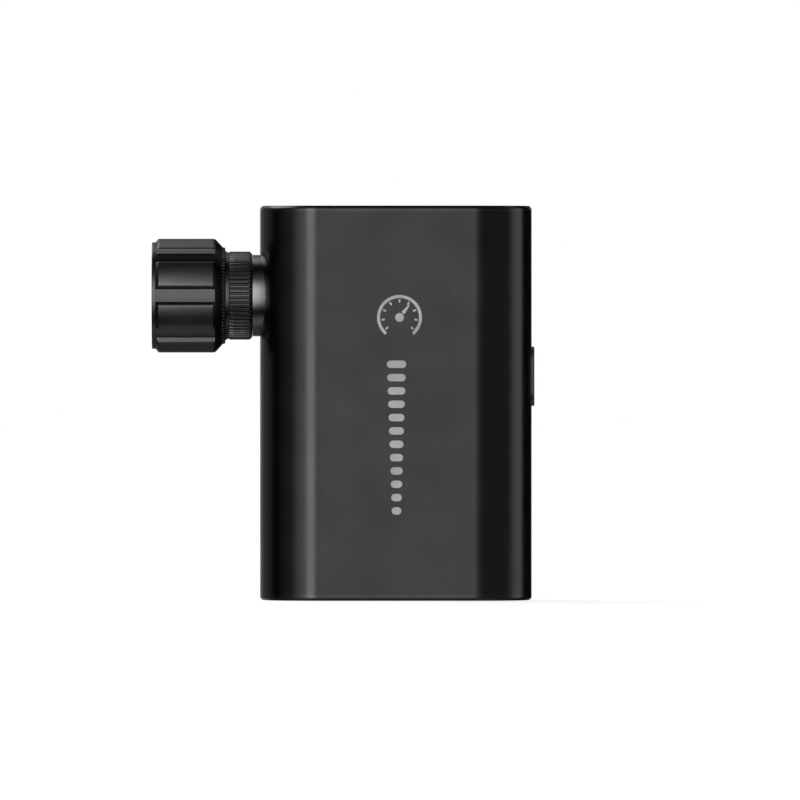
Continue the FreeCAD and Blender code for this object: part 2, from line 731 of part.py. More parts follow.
def make_chuck_cap():
    """Metal cap that screws on the spigot: coarse knurl, groove, fine serration, barrel, lip."""
    knurl_blank = turned([
        (CAP_REAR, CAP_BORE_R),
        (CAP_REAR, KNURL_R - KNURL_CHAMFER),
        (CAP_REAR - KNURL_CHAMFER, KNURL_R),
        (KNURL_END + KNURL_FRONT_CHAMFER, KNURL_R),
        (KNURL_END, KNURL_R - KNURL_FRONT_CHAMFER),
        (KNURL_END, CAP_BORE_R),
    ])
    knurl_teeth = tooth_ring(KNURL_R - KNURL_DEPTH, KNURL_R, KNURL_TEETH, KNURL_CREST)
    knurl = extruded_ring(knurl_teeth, KNURL_END, CAP_REAR).common(knurl_blank)
    serration_blank = turned([
        (SHOULDER_END, CAP_BORE_R),
        (SHOULDER_END, SERRATION_R - SERRATION_TAPER),
        (SERRATION_END, SERRATION_R),
        (SERRATION_END, CAP_BORE_R),
    ])
    fine_r = SERRATION_R - SERRATION_DEPTH
    fine_teeth = tooth_ring(fine_r, SERRATION_R, SERRATION_TEETH, SERRATION_CREST)
    serration = extruded_ring(fine_teeth, SERRATION_END, SHOULDER_END).common(serration_blank)
    barrel = turned([
        (KNURL_END, CAP_BORE_R),
        (KNURL_END, GROOVE_R),
        (GROOVE_END, GROOVE_R),
        (GROOVE_END, SHOULDER_R),
        (SHOULDER_END, SHOULDER_R),
        (SHOULDER_END, BARREL_R),
        (CAP_FRONT + LIP_CHAMFER, BARREL_R),
        (CAP_FRONT, BARREL_R - LIP_CHAMFER),
        (CAP_FRONT, LIP_R + LIP_CHAMFER),
        (CAP_FRONT + LIP_CHAMFER, LIP_R),
        (LIP_BACK, LIP_R),
        (LIP_BACK, CAP_BORE_R),
    ])
    return barrel.fuse([knurl, serration]).removeSplitter()


def grip_outline():
    """The ribbed section: round crests, rounded edges, straight walls and a round floor.

    The edge is an arc that starts tangent to the crest and turns by RIB_EDGE_TURN. The wall
    runs on from it to the floor's circle.
    """
    pitch = 360.0 / GRIP_RIBS
    turn = math.radians(RIB_EDGE_TURN)
    crest = math.radians(RIB_CREST)
    centre = complex(math.cos(crest), math.sin(crest)) * (GRIP_R - RIB_EDGE_R)

    def edge_point(share):
        angle = crest + share * turn
        return centre + RIB_EDGE_R * complex(math.cos(angle), math.sin(angle))

    end = edge_point(1.0)
    heading = complex(math.cos(crest + turn + math.pi / 2), math.sin(crest + turn + math.pi / 2))
    along = (end * heading.conjugate()).real
    reach = -along - math.sqrt(along**2 - abs(end) ** 2 + GRIP_FLOOR_R**2)
    foot = end + reach * heading

    def place(point, rib, side):
        angle = math.degrees(math.atan2(point.imag, point.real))
        return polar(abs(point), (rib + 0.5) * pitch + side * angle)

    edges = []
    for rib in range(GRIP_RIBS):
        start, half, stop = (edge_point(s) for s in (0.0, 0.5, 1.0))
        top = complex(GRIP_R, 0)
        edges.append(Part.Arc(place(start, rib, -1), place(top, rib, 1), place(start, rib, 1)).toShape())
        for side in (-1, 1):
            ends = [place(p, rib, side) for p in (start, half, stop, foot)]
            edges.append(Part.Arc(*ends[:3]).toShape())
            edges.append(Part.LineSegment(ends[2], ends[3]).toShape())
        floor = polar(GRIP_FLOOR_R, (rib + 1) * pitch)
        edges.append(Part.Arc(place(foot, rib, 1), floor, place(foot, rib + 1, -1)).toShape())
    return Part.Wire(Part.__sortEdges__(edges))


def make_grip_sleeve():
    """Ribbed sleeve over the cap's barrel, with a cone at the rear and an open mouth."""
    ribs = extruded_ring(grip_outline(), RIBS_FRONT, RIBS_REAR)
    ribs = ribs.common(turned([
        (RIBS_REAR, 0),
        (RIBS_REAR, GRIP_CONE_R),
        (RIBS_REAR - RIB_REAR_L, GRIP_R),
        (RIBS_FRONT + RIB_CHAMFER_L, GRIP_R),
        (RIBS_FRONT, GRIP_R - RIB_CHAMFER_H),
        (RIBS_FRONT, 0),
    ]))
    core = turned([
        (GRIP_REAR, 0),
        (GRIP_REAR, GRIP_TAIL_R),
        (RIBS_REAR, GRIP_CONE_R),
        (RIBS_REAR, GRIP_FLOOR_R),
        (GRIP_FRONT + GRIP_NOSE_EDGE_R, GRIP_FLOOR_R),
        (GRIP_FRONT, GRIP_FLOOR_R - GRIP_NOSE_EDGE_R),
        (GRIP_FRONT, GRIP_MOUTH_R),
        (CAP_FRONT, GRIP_MOUTH_R),
        (CAP_FRONT, 0),
    ])
    bore = rod_x(BARREL_R + FIT, CAP_FRONT - FIT, GRIP_REAR)
    return core.fuse(ribs).cut(bore).removeSplitter()


def make_slip_washer():
    ring = rod_x(CAP_BORE_R - SEAT_GAP, WASHER_FRONT, WASHER_BACK)
    return ring.cut(rod_x(SLIP_WASHER_R, WASHER_FRONT, WASHER_BACK))


def make_valve_gasket():
    """Reversible rubber gasket: a wide bore at the front and a slim one behind it."""
    body = rod_x(CAP_BORE_R - SEAT_GAP, GASKET_FRONT, GASKET_BACK)
    body = body.cut(rod_x(VALVE_BORE_R, GASKET_FRONT, GASKET_FRONT + VALVE_BORE_L))
    return body.cut(rod_x(SLIM_BORE_R, GASKET_FRONT, GASKET_BACK))


def make_core_plunger():
    """Disc with air holes and a pin that pushes the tyre valve's core."""
    body = rod_x(CAP_BORE_R - SLIP, PLUNGER_FRONT, PLUNGER_BACK)
    body = body.fuse(rod_x(PLUNGER_PIN_R, GASKET_FRONT + VALVE_BORE_L + SLIP, PLUNGER_FRONT))
    for i in range(PLUNGER_HOLES):
        hole = polar(PLUNGER_HOLE_AT, 360.0 * (i + 0.5) / PLUNGER_HOLES)
        air = rod_x(PLUNGER_HOLE_R, PLUNGER_FRONT - OVER, PLUNGER_BACK, hole.y, NOZZLE_Z + hole.z)
        body = body.cut(air)
    return body


# ---------------------------------------------------------------- check valve
def make_check_valve():
    seat = HEAD_FACE_X + STUB_L
    disc = rod_x(POPPET_R, seat - POPPET_T - RUNNING, seat - RUNNING)
    stem = rod_x(POPPET_STEM_R, seat - POPPET_T - POPPET_STEM_L, seat - POPPET_T)
    return disc.fuse(stem).removeSplitter()


def make_valve_spring():
    """Coil of short arcs between the chamber's floor and the valve's disc."""
    right = HEAD_FACE_X + STUB_L - POPPET_T - 2 * RUNNING - SPRING_WIRE_R
    left = HEAD_FACE_X - CHAMBER_L + 2 * RUNNING + SPRING_WIRE_R
    count = SPRING_TURNS * SPRING_ARCS

    def at(step):
        turn = 2 * math.pi * step / SPRING_ARCS
        y = SPRING_R * math.cos(turn)
        return Vector(left + (right - left) * step / count, y, NOZZLE_Z + SPRING_R * math.sin(turn))

    edges = [Part.Arc(at(i), at(i + 0.5), at(i + 1)).toShape() for i in range(count)]
    start = edges[0].tangentAt(edges[0].FirstParameter)
    circle = Part.Circle(at(0), start, SPRING_WIRE_R).toShape()
    return Part.Wire(edges).makePipeShell([Part.Wire(circle)], True, True)


# ---------------------------------------------------------------- cylinder and piston
def make_cylinder_tube():
    right = CYLINDER_X + CYLINDER_L
    return rod_x(CYLINDER_R, CYLINDER_X, right).cut(rod_x(BORE_R, CYLINDER_X, right))


def head_plate(left, right):
    """The head's outline between two places along X: a rounded rectangle, kept off the wall."""
    low, high = NOZZLE_Z - HEAD_HALF_Z, NOZZLE_Z + HEAD_HALF_Z
    plate = block((left, right), (-HEAD_HALF_Y, HEAD_HALF_Y), (low, high))
    edges = [e for e in plate.Edges if e.BoundBox.XLength > 0.5 * (right - left)]
    return plate.makeFillet(HEAD_CORNER_R, edges).common(body_prism(WALL + SLIP, low, high))


def head_screw_places():
    return [(sy * HEAD_SCREW_AT, NOZZLE_Z + sz * HEAD_SCREW_AT) for sy in (-1, 1) for sz in (-1, 1)]


def make_cylinder_head():
    head = head_plate(HEAD_FACE_X, HEAD_INNER_X)
    head = head.cut(rod_x(OUTLET_R, HEAD_FACE_X, HEAD_INNER_X))
    head = head.cut(rod_x(STUB_R + FIT, HEAD_FACE_X, HEAD_FACE_X + STUB_L))
    for y, z in head_screw_places():
        head = head.cut(rod_x(HEAD_SCREW_R + FIT, HEAD_FACE_X, HEAD_INNER_X, y, z))
        seat_end = HEAD_FACE_X + HEAD_SCREW_HEAD_H
        head = head.cut(rod_x(HEAD_SCREW_HEAD_R + FIT, HEAD_FACE_X, seat_end, y, z))
    return head


def make_head_gasket():
    gasket = head_plate(HEAD_INNER_X, CYLINDER_X).cut(rod_x(BORE_R, HEAD_INNER_X, CYLINDER_X))
    for y, z in head_screw_places():
        gasket = gasket.cut(rod_x(HEAD_SCREW_R + FIT, HEAD_INNER_X, CYLINDER_X, y, z))
    return gasket


def make_head_screws():
    sizes = (HEAD_SCREW_HEAD_R, HEAD_SCREW_HEAD_H, HEAD_SCREW_R, HEAD_SCREW_L)
    return [screw(Vector(HEAD_FACE_X, y, z), X, *sizes) for y, z in head_screw_places()]


def make_piston():
    left = CROWN_X + RETAINER_T
    right = left + PISTON_L
    body = rod_x(BORE_R - PISTON_GAP, left, right)
    groove_left = left + SEAL_IN
    groove_right = groove_left + SEAL_L
    groove = rod_x(BORE_R, groove_left, groove_right)
    groove = groove.cut(rod_x(BORE_R - SEAL_DEEP, groove_left, groove_right))
    half_slot = ROD_T / 2 + WRIST_BOSS_GAP
    slot_left = WRIST_X - ROD_SMALL_R - WRIST_BOSS_GAP
    slot_z = (NOZZLE_Z - half_slot, NOZZLE_Z + half_slot)
    slot = block((slot_left, right), (-SLOT_HALF_Y, SLOT_HALF_Y), slot_z)
    pin_half = BORE_R - WRIST_END_IN
    hole = rod_z(WRIST_R + RUNNING, NOZZLE_Z - pin_half, NOZZLE_Z + pin_half, WRIST_X)
    socket = rod_x(RETAINER_STUD_R + FIT, left, left + RETAINER_STUD_L + FIT)
    return body.cut([groove, slot, hole, socket])


def make_piston_seal():
    """Seal ring in the piston's groove, running in the bore."""
    left = CROWN_X + RETAINER_T + SEAL_IN + RUNNING
    right = left + SEAL_L - 2 * RUNNING
    return rod_x(BORE_R - SEAL_GAP, left, right).cut(rod_x(BORE_R - SEAL_DEEP + RUNNING, left, right))


def make_seal_retainer():
    disc = rod_x(RETAINER_R, CROWN_X, CROWN_X + RETAINER_T)
    stud = rod_x(RETAINER_STUD_R, CROWN_X, CROWN_X + RETAINER_T + RETAINER_STUD_L)
    return disc.fuse(stud).removeSplitter()


def make_wrist_pin():
    pin_half = BORE_R - WRIST_END_IN - FIT
    return rod_z(WRIST_R, NOZZLE_Z - pin_half, NOZZLE_Z + pin_half, WRIST_X)


def make_connecting_rod():
    low = NOZZLE_Z - ROD_T / 2
    high = NOZZLE_Z + ROD_T / 2
    small = rod_z(ROD_SMALL_R, low, high, WRIST_X)
    big = rod_z(ROD_BIG_R, low, high, PIN_X)
    shank = block((WRIST_X, PIN_X), (-ROD_HALF_W, ROD_HALF_W), (low, high))
    rod = shank.fuse([small, big])
    pocket_x = (WRIST_X + ROD_SMALL_R + ROD_RIM, PIN_X - ROD_BIG_R - ROD_RIM)
    pocket_y = ROD_HALF_W - ROD_RIM
    pocket = block(pocket_x, (-pocket_y, pocket_y), (high - ROD_POCKET, high))
    seat_low = NOZZLE_Z - BEARING_T / 2
    rod = rod.cut([
        rod_z(WRIST_R + 2 * RUNNING, low, high, WRIST_X),
        rod_z(BEARING_R, seat_low, high, PIN_X),
        rod_z(BEARING_R - ROD_STEP, low, high, PIN_X),
        pocket,
    ])
    return rod.removeSplitter()


def make_big_end_bearing():
    return bearing(PIN_X, 0, NOZZLE_Z - BEARING_T / 2 + RUNNING)


def make_crank_pin():
    """Shoulder screw through the big end. It stops just above the crank disc."""
    head_low = NOZZLE_Z + ROD_T / 2 + FIT
    shank = rod_z(BEARING_BORE_R, DISC_TOP + PIN_GAP, head_low, PIN_X)
    head = rod_z(PIN_HEAD_R, head_low, head_low + PIN_HEAD_T, PIN_X)
    slot_x = (PIN_X - PIN_HEAD_R, PIN_X + PIN_HEAD_R)
    slot_z = (head_low + PIN_HEAD_T - PIN_SLOT, head_low + PIN_HEAD_T)
    slot = block(slot_x, (-PIN_SLOT / 2, PIN_SLOT / 2), slot_z)
    return shank.fuse(head).cut(slot).removeSplitter()


# ---------------------------------------------------------------- crank and gears
def make_crank_gear():
    """Gear, hub and crank disc in one piece, with the bearings' bore inside."""
    high = GEAR_BOTTOM + GEAR_L
    gear = involute_gear(GEAR_TEETH, -PROFILE_SHIFT, GEAR_BOTTOM, high, CRANK_X, 0)
    for i in range(GEAR_HOLES):
        angle = 2 * math.pi * (i + 0.5) / GEAR_HOLES
        place = (CRANK_X + GEAR_HOLE_AT * math.cos(angle), GEAR_HOLE_AT * math.sin(angle))
        gear = gear.cut(rod_z(GEAR_HOLE_R, GEAR_BOTTOM, high, *place))
    hub = rod_z(HUB_R, GEAR_BOTTOM - HUB_DROP, DISC_BOTTOM, CRANK_X)
    disc = rod_z(DISC_R, DISC_BOTTOM, DISC_TOP, CRANK_X)
    body = gear.fuse([hub, disc])
    bore = rod_z(BEARING_R, GEAR_BOTTOM - HUB_DROP, DISC_BOTTOM, CRANK_X)
    return body.cut(bore).removeSplitter()


def make_counterweight():
    """Steel half ring under the disc's heavy side, opposite the crank pin."""
    low = DISC_BOTTOM - WEIGHT_T
    ring = rod_z(DISC_R, low, DISC_BOTTOM, CRANK_X).cut(rod_z(HUB_R + FIT, low, DISC_BOTTOM, CRANK_X))
    half = block((CRANK_X, CRANK_X + DISC_R), (-DISC_R, DISC_R), (low, DISC_BOTTOM))
    return ring.common(half)


def make_crank_bearings():
    low = GEAR_BOTTOM - HUB_DROP + BEARING_END_GAP
    high = DISC_BOTTOM - HUB_DROP - BEARING_T
    return bearing(CRANK_X, 0, low) + bearing(CRANK_X, 0, high)


def make_crank_axle():
    return rod_z(BEARING_BORE_R, PLATE_BOTTOM, DISC_BOTTOM - AXLE_END_GAP, CRANK_X)


def make_pinion():
    low = PINION_TOP - PINION_L
    half_pitch = 180.0 / PINION_TEETH
    pinion = involute_gear(PINION_TEETH, PROFILE_SHIFT, low, PINION_TOP, MOTOR_X, half_pitch)
    return pinion.cut(rod_z(SHAFT_R, low, PINION_TOP, MOTOR_X))


# ---------------------------------------------------------------- motor
def make_motor_can():
    bottom = MOTOR_BOTTOM + MOTOR_BELL_L
    can = rod_z(MOTOR_R, bottom, PLATE_BOTTOM, MOTOR_X)
    can = can.cut(rod_z(MOTOR_R - MOTOR_CAN_T, bottom, PLATE_BOTTOM - MOTOR_CAN_T, MOTOR_X))
    can = can.fuse(rod_z(MOTOR_BOSS_R, PLATE_BOTTOM - MOTOR_CAN_T, PLATE_BOTTOM + MOTOR_BOSS_L, MOTOR_X))
    cuts = [rod_z(SHAFT_R + BUSHING_WALL, bottom, PLATE_TOP, MOTOR_X)]
    for sy in (-1, 1):
        cuts.append(rod_z(MOTOR_SCREW_R + FIT, bottom, PLATE_TOP, MOTOR_X, sy * MOTOR_SCREW_AT))
    return can.cut(cuts).removeSplitter()


def make_motor_end_bell():
    """Plastic rear cover with the rear bearing's seat and the brush holders' pockets."""
    top = MOTOR_BOTTOM + MOTOR_BELL_L
    bell = rod_z(MOTOR_R, MOTOR_BOTTOM, top, MOTOR_X)
    bell = bell.cut(rod_z(MOTOR_R - BELL_WALL, MOTOR_BOTTOM + BELL_FLOOR, top, MOTOR_X))
    bell = bell.fuse(rod_z(MOTOR_BOSS_R, MOTOR_BOTTOM, top - BELL_BOSS_DROP, MOTOR_X))
    return bell.cut(rod_z(SHAFT_R + BUSHING_WALL, MOTOR_BOTTOM, top, MOTOR_X)).removeSplitter()


def make_motor_bushings():
    outer_r = SHAFT_R + BUSHING_WALL - FIT
    boss_top = PLATE_BOTTOM + MOTOR_BOSS_L
    front = rod_z(outer_r, boss_top - BUSHING_L, boss_top, MOTOR_X)
    rear = rod_z(outer_r, MOTOR_BOTTOM, MOTOR_BOTTOM + BUSHING_L, MOTOR_X)
    shaft = rod_z(SHAFT_R + RUNNING, MOTOR_BOTTOM, boss_top, MOTOR_X)
    return [front.cut(shaft), rear.cut(shaft)]


def make_motor_magnets():
    low = ARMATURE_LOW - MAGNET_OVERHANG
    high = ARMATURE_HIGH + MAGNET_OVERHANG
    outer = MOTOR_R - MOTOR_CAN_T - FIT
    ring = rod_z(outer, low, high, MOTOR_X).cut(rod_z(outer - MAGNET_T, low, high, MOTOR_X))
    magnets = []
    for side in (-1, 1):
        span = sorted_pair(MOTOR_X + side * MAGNET_HALF_SPLIT, MOTOR_X + side * MOTOR_R)
        magnets.append(ring.common(block(span, (-MOTOR_R, MOTOR_R), (low, high))))
    return magnets


def make_armature_core():
    low = ARMATURE_LOW
    high = ARMATURE_HIGH
    core = rod_z(ARMATURE_R, low, high, MOTOR_X)
    cuts = [rod_z(SHAFT_R + FIT, low, high, MOTOR_X)]
    for x, y in slot_places():
        cuts.append(rod_z(SLOT_R, low, high, x, y))
    for i in range(ARMATURE_SLOTS):
        slit_x = (ARMATURE_R - SLOT_R, ARMATURE_R + OVER)
        slit = block(slit_x, (-SLIT_HALF, SLIT_HALF), (low, high))
        slit.rotate(Vector(0, 0, 0), Z, 360.0 * i / ARMATURE_SLOTS)
        slit.translate(Vector(MOTOR_X, 0, 0))
        cuts.append(slit)
    return core.cut(cuts)


def slot_places():
    reach = ARMATURE_R - SLOT_R - SLOT_IN
    places = []
    for i in range(ARMATURE_SLOTS):
        angle = 2 * math.pi * i / ARMATURE_SLOTS
        places.append((MOTOR_X + reach * math.cos(angle), reach * math.sin(angle)))
    return places


def make_armature_windings():
    """Copper in the slots, joined by a ring of end turns at each end."""
    low = ARMATURE_LOW
    high = ARMATURE_HIGH
    spans = ((low - COIL_END, low - COIL_GAP), (high + COIL_GAP, high + COIL_END))
    bars = [rod_z(SLOT_R - COIL_GAP, low - 2 * COIL_GAP, high + 2 * COIL_GAP, x, y) for x, y in slot_places()]
    rings = []
    for ring_low, ring_high in spans:
        ring = rod_z(ARMATURE_R - SLOT_IN, ring_low, ring_high, MOTOR_X)
        rings.append(ring.cut(rod_z(2 * SHAFT_R, ring_low, ring_high, MOTOR_X)))
    return rings[0].fuse(rings[1:] + bars)


def make_commutator():
    low = MOTOR_BOTTOM + MOTOR_BELL_L + COMMUTATOR_RISE
    high = low + COMMUTATOR_L
    return rod_z(COMMUTATOR_R, low, high, MOTOR_X).cut(rod_z(SHAFT_R + FIT, low, high, MOTOR_X))


def make_motor_brushes():
    low = MOTOR_BOTTOM + MOTOR_BELL_L + COMMUTATOR_RISE + (COMMUTATOR_L - BRUSH_L) / 2
    brushes = []
    for side in (-1, 1):
        span = sorted_pair(side * (COMMUTATOR_R + BRUSH_GAP), side * BRUSH_REACH)
        brushes.append(block((MOTOR_X - BRUSH_HALF, MOTOR_X + BRUSH_HALF), span, (low, low + BRUSH_L)))
    return brushes


def make_motor_shaft():
    return rod_z(SHAFT_R, MOTOR_BOTTOM - SHAFT_UNDER, PINION_TOP + SHAFT_OVER, MOTOR_X)


def make_motor_screws():
    top = PLATE_TOP + MOTOR_SCREW_HEAD_H
    length = MOTOR_SCREW_HEAD_H + MOTOR_SCREW_L
    sizes = (MOTOR_SCREW_HEAD_R, MOTOR_SCREW_HEAD_H, MOTOR_SCREW_R, length)
    return [screw(Vector(MOTOR_X, side * MOTOR_SCREW_AT, top), -Z, *sizes) for side in (-1, 1)]


# ---------------------------------------------------------------- frame and spacer
def make_drive_frame():
    """Plate over the motor, two side rails and the saddle that holds the cylinder."""
    reach = WALL + FRAME_GAP
    plate = body_prism(reach, PLATE_BOTTOM, PLATE_TOP)
    plate = plate.common(block((-HALF_W, CRANK_X + PLATE_RIGHT), (-BODY_D, BODY_D), (0, BODY_H)))
    plate = plate.cut(bosses(BOSS_R + FRAME_GAP, PLATE_BOTTOM, PLATE_TOP))
    outer_y = BODY_D / 2 - reach
    saddle_x = (CYLINDER_X, CYLINDER_X + SADDLE_L)
    rail_x = (CYLINDER_X + SADDLE_L - RAIL_T, CRANK_X + PLATE_RIGHT)
    rail_z = (PLATE_TOP, PLATE_TOP + RAIL_H)
    saddle_top = NOZZLE_Z + CYLINDER_R + SADDLE_RISE
    saddle = block(saddle_x, (-SADDLE_HALF_Y, SADDLE_HALF_Y), (PLATE_TOP, saddle_top))
    sides = []
    for side in (-1, 1):
        sides.append(block(rail_x, sorted_pair(side * (outer_y - RAIL_T), side * outer_y), rail_z))
        cheek_y = sorted_pair(side * (SADDLE_HALF_Y - CHEEK_IN), side * outer_y)
        sides.append(block((CYLINDER_X + CHEEK_IN, CYLINDER_X + SADDLE_L), cheek_y, rail_z))
    frame = plate.fuse(sides + [saddle])
    cuts = bosses(BOSS_R + FRAME_GAP, PLATE_BOTTOM, BODY_H)
    cuts.append(rod_x(CYLINDER_R + FIT, CYLINDER_X, CYLINDER_X + SADDLE_L))
    cuts.append(rod_z(MOTOR_BOSS_R + FIT, PLATE_BOTTOM, PLATE_TOP, MOTOR_X))
    cuts.append(rod_z(BEARING_BORE_R + RUNNING, PLATE_BOTTOM, PLATE_TOP, CRANK_X))
    for side in (-1, 1):
        cuts.append(rod_z(MOTOR_SCREW_R + FIT, PLATE_BOTTOM, PLATE_TOP, MOTOR_X, side * MOTOR_SCREW_AT))
    for y, z in head_screw_places():
        cuts.append(rod_x(HEAD_SCREW_R + FIT, CYLINDER_X, CYLINDER_X + SADDLE_L, y, z))
    return frame.cut(cuts).removeSplitter()


def make_bottom_spacer():
    """Plastic tray on the bottom cap: carries the battery's feet and the board's slot."""
    tray = body_prism(WALL + SPACER_GAP, SPACER_BOTTOM, SPACER_TOP)
    tray = tray.cut(bosses(BOSS_R + FRAME_GAP, SPACER_BOTTOM, SPACER_TOP))
    tray = tray.cut(rod_z(SPACER_HOLE_R, SPACER_BOTTOM, SPACER_TOP, MOTOR_X))
    feet = []
    post_end = CELL_HALF_Y - POST_IN
    clip_top = CELL_BOTTOM - CELL_GAP
    for side in (-1, 1):
        post_y = sorted_pair(side * (post_end - POST_WIDE), side * post_end)
        clip_y = sorted_pair(side * CLIP_Y[0], side * CLIP_Y[1])
        for x in (CELL_LEFT + CELL_T / 4, BOARD_X - CELL_T / 2):
            feet.append(block((x - POST_HALF, x + POST_HALF), post_y, (SPACER_TOP, CELL_BOTTOM - FIT)))
        for x in (BOARD_X - CLIP_T - CELL_GAP / 2, BOARD_X + BOARD_T + CELL_GAP / 2):
            feet.append(block((x, x + CLIP_T), clip_y, (SPACER_TOP, clip_top)))
    return tray.fuse(feet).removeSplitter()


def make_motor_foam():
    low = SPACER_TOP + FIT
    high = MOTOR_BOTTOM - FIT
    return rod_z(FOAM_R, low, high, MOTOR_X).cut(rod_z(FOAM_HOLE_R, low, high, MOTOR_X))


# ---------------------------------------------------------------- battery
def battery_cell(left):
    cell = block((left, left + CELL_T), (-CELL_HALF_Y, CELL_HALF_Y), (CELL_BOTTOM, CELL_TOP))
    edges = [e for e in cell.Edges if e.BoundBox.ZLength > CELL_H / 2]
    return cell.makeFillet(CELL_CORNER_R, edges)


def make_cell_link():
    """Nickel strip that joins the two cells in series."""
    left = CELL_LEFT + CELL_T / 2
    right = CELL_LEFT + 1.5 * CELL_T + CELL_GAP
    return block((left, right), LINK_Y, (CELL_TOP + FIT, CELL_TOP + FIT + LINK_T))


def battery_lead(y):
    """From the outer cell's top up to the board's inner face."""
    low = CELL_TOP + FIT
    start = BOARD_X - CELL_T / 2
    lane = BOARD_X - 3 * WIRE_R
    board = BOARD_X - WIRE_R - FIT
    return wire_tube([
        Vector(start, y, low),
        Vector(start, y, low + 1.6),
        Vector(lane, y, low + 3.6),
        Vector(lane, y, low + 6.4),
        Vector(board, y, low + 8.6),
        Vector(board, y, low + 10.6),
    ], WIRE_R)


def motor_lead(y):
    """From under the motor's rear cover to the board's lower edge, beneath the battery."""
    low = SPACER_TOP + WIRE_R + SEAM
    high = SPACER_TOP + BOARD_FOOT + 2 * WIRE_R
    board = BOARD_X - FIT
    return wire_tube([
        Vector(MOTOR_X + FOAM_R + 2 * WIRE_R, 0.6 * y, low),
        Vector(CELL_LEFT, 0.6 * y, low),
        Vector(CELL_LEFT + CELL_T, y, low),
        Vector(board - CELL_T / 2, y, high),
        Vector(board, y, high),
    ], WIRE_R)


# ---------------------------------------------------------------- board
def make_main_board():
    low = SPACER_TOP + BOARD_FOOT
    return block((BOARD_X, BOARD_X + BOARD_T), (-BOARD_HALF_Y, BOARD_HALF_Y), (low, BOARD_TOP))


def board_chip(side, y, z, wide, tall, thick):
    """A chip on the board's outer face (side 1) or inner face (side -1)."""
    face = BOARD_X + BOARD_T if side > 0 else BOARD_X
    x = sorted_pair(face, face + side * thick)
    return block(x, (y - wide / 2, y + wide / 2), (z - tall / 2, z + tall / 2))


def make_board_chips():
    controller = board_chip(1, 0, BUTTON_Z - 10, 4.0, 4.0, 0.9)
    transistors = [board_chip(1, side * 2.8, BUTTON_Z - 17, 3.0, 5.0, 1.0) for side in (-1, 1)]
    charger = board_chip(1, 0, BUTTON_Z + 10, 5.0, 4.0, 1.1)
    pressure_sensor = board_chip(-1, 0, BUTTON_Z + 13, 3.2, 3.2, 1.2)
    return [controller, *transistors, charger, pressure_sensor]


def make_tact_switch():
    left = BOARD_X + BOARD_T
    half = SWITCH_HALF
    body = block((left, left + SWITCH_T), (-half, half), (BUTTON_Z - half, BUTTON_Z + half))
    well_r = SWITCH_PIN_R + SWITCH_PIN_GAP
    return body.cut(rod_x(well_r, left + SWITCH_T - SWITCH_WELL, left + SWITCH_T, 0, BUTTON_Z))


def button_back():
    """Rear face of the button's flange, which touches the switch's pin."""
    return INNER_X - BUTTON_FLANGE_IN - BUTTON_FLANGE_T


def make_switch_pin():
    left = BOARD_X + BOARD_T + SWITCH_T - SWITCH_PIN_IN
    return rod_x(SWITCH_PIN_R, left, button_back(), 0, BUTTON_Z)


def make_power_button():
    left = button_back()
    flange_right = left + BUTTON_FLANGE_T
    flange = stadium_x(
        BUTTON_LONG + 2 * BUTTON_RIM, BUTTON_WIDE + 2 * BUTTON_RIM, left, flange_right, BUTTON_Z
    )
    right = HALF_W + BUTTON_PROUD
    key = stadium_x(BUTTON_LONG, BUTTON_WIDE, left, right, BUTTON_Z)
    edges = [e for e in key.Edges if all(abs(v.X - right) < TINY for v in e.Vertexes)]
    key = key.makeFillet(BUTTON_EDGE_R, edges)
    return key.fuse(flange).removeSplitter()


def usb_bar(long_y, thick_x, low, high):
    return stadium_z(long_y, thick_x, low, high, USB_X)


def make_usb_socket():
    high = BODY_H - USB_SUNK
    low = high - USB_L
    outer = usb_bar(USB_LONG, USB_THICK - 2 * RUNNING, low, high)
    inner = usb_bar(USB_LONG - 2 * USB_WALL, USB_THICK - 2 * USB_WALL, low + USB_BACK, high)
    return outer.cut(inner)


def make_usb_tongue():
    high = BODY_H - USB_SUNK - TONGUE_SUNK
    low = BODY_H - USB_SUNK - USB_L + USB_BACK + FIT
    tongue_y = (-TONGUE_HALF_Y, TONGUE_HALF_Y)
    return block((USB_X - TONGUE_HALF_X, USB_X + TONGUE_HALF_X), tongue_y, (low, high))


def make_status_led():
    return board_chip(-1, LED_Y, BOARD_TOP - PIPE_FOOT - LED_TALL, LED_WIDE, LED_TALL, LED_T)


def make_light_pipe():
    return rod_z(PIPE_R, BOARD_TOP - PIPE_FOOT, BODY_H - FIT, BOARD_X - PIPE_OUT, LED_Y)


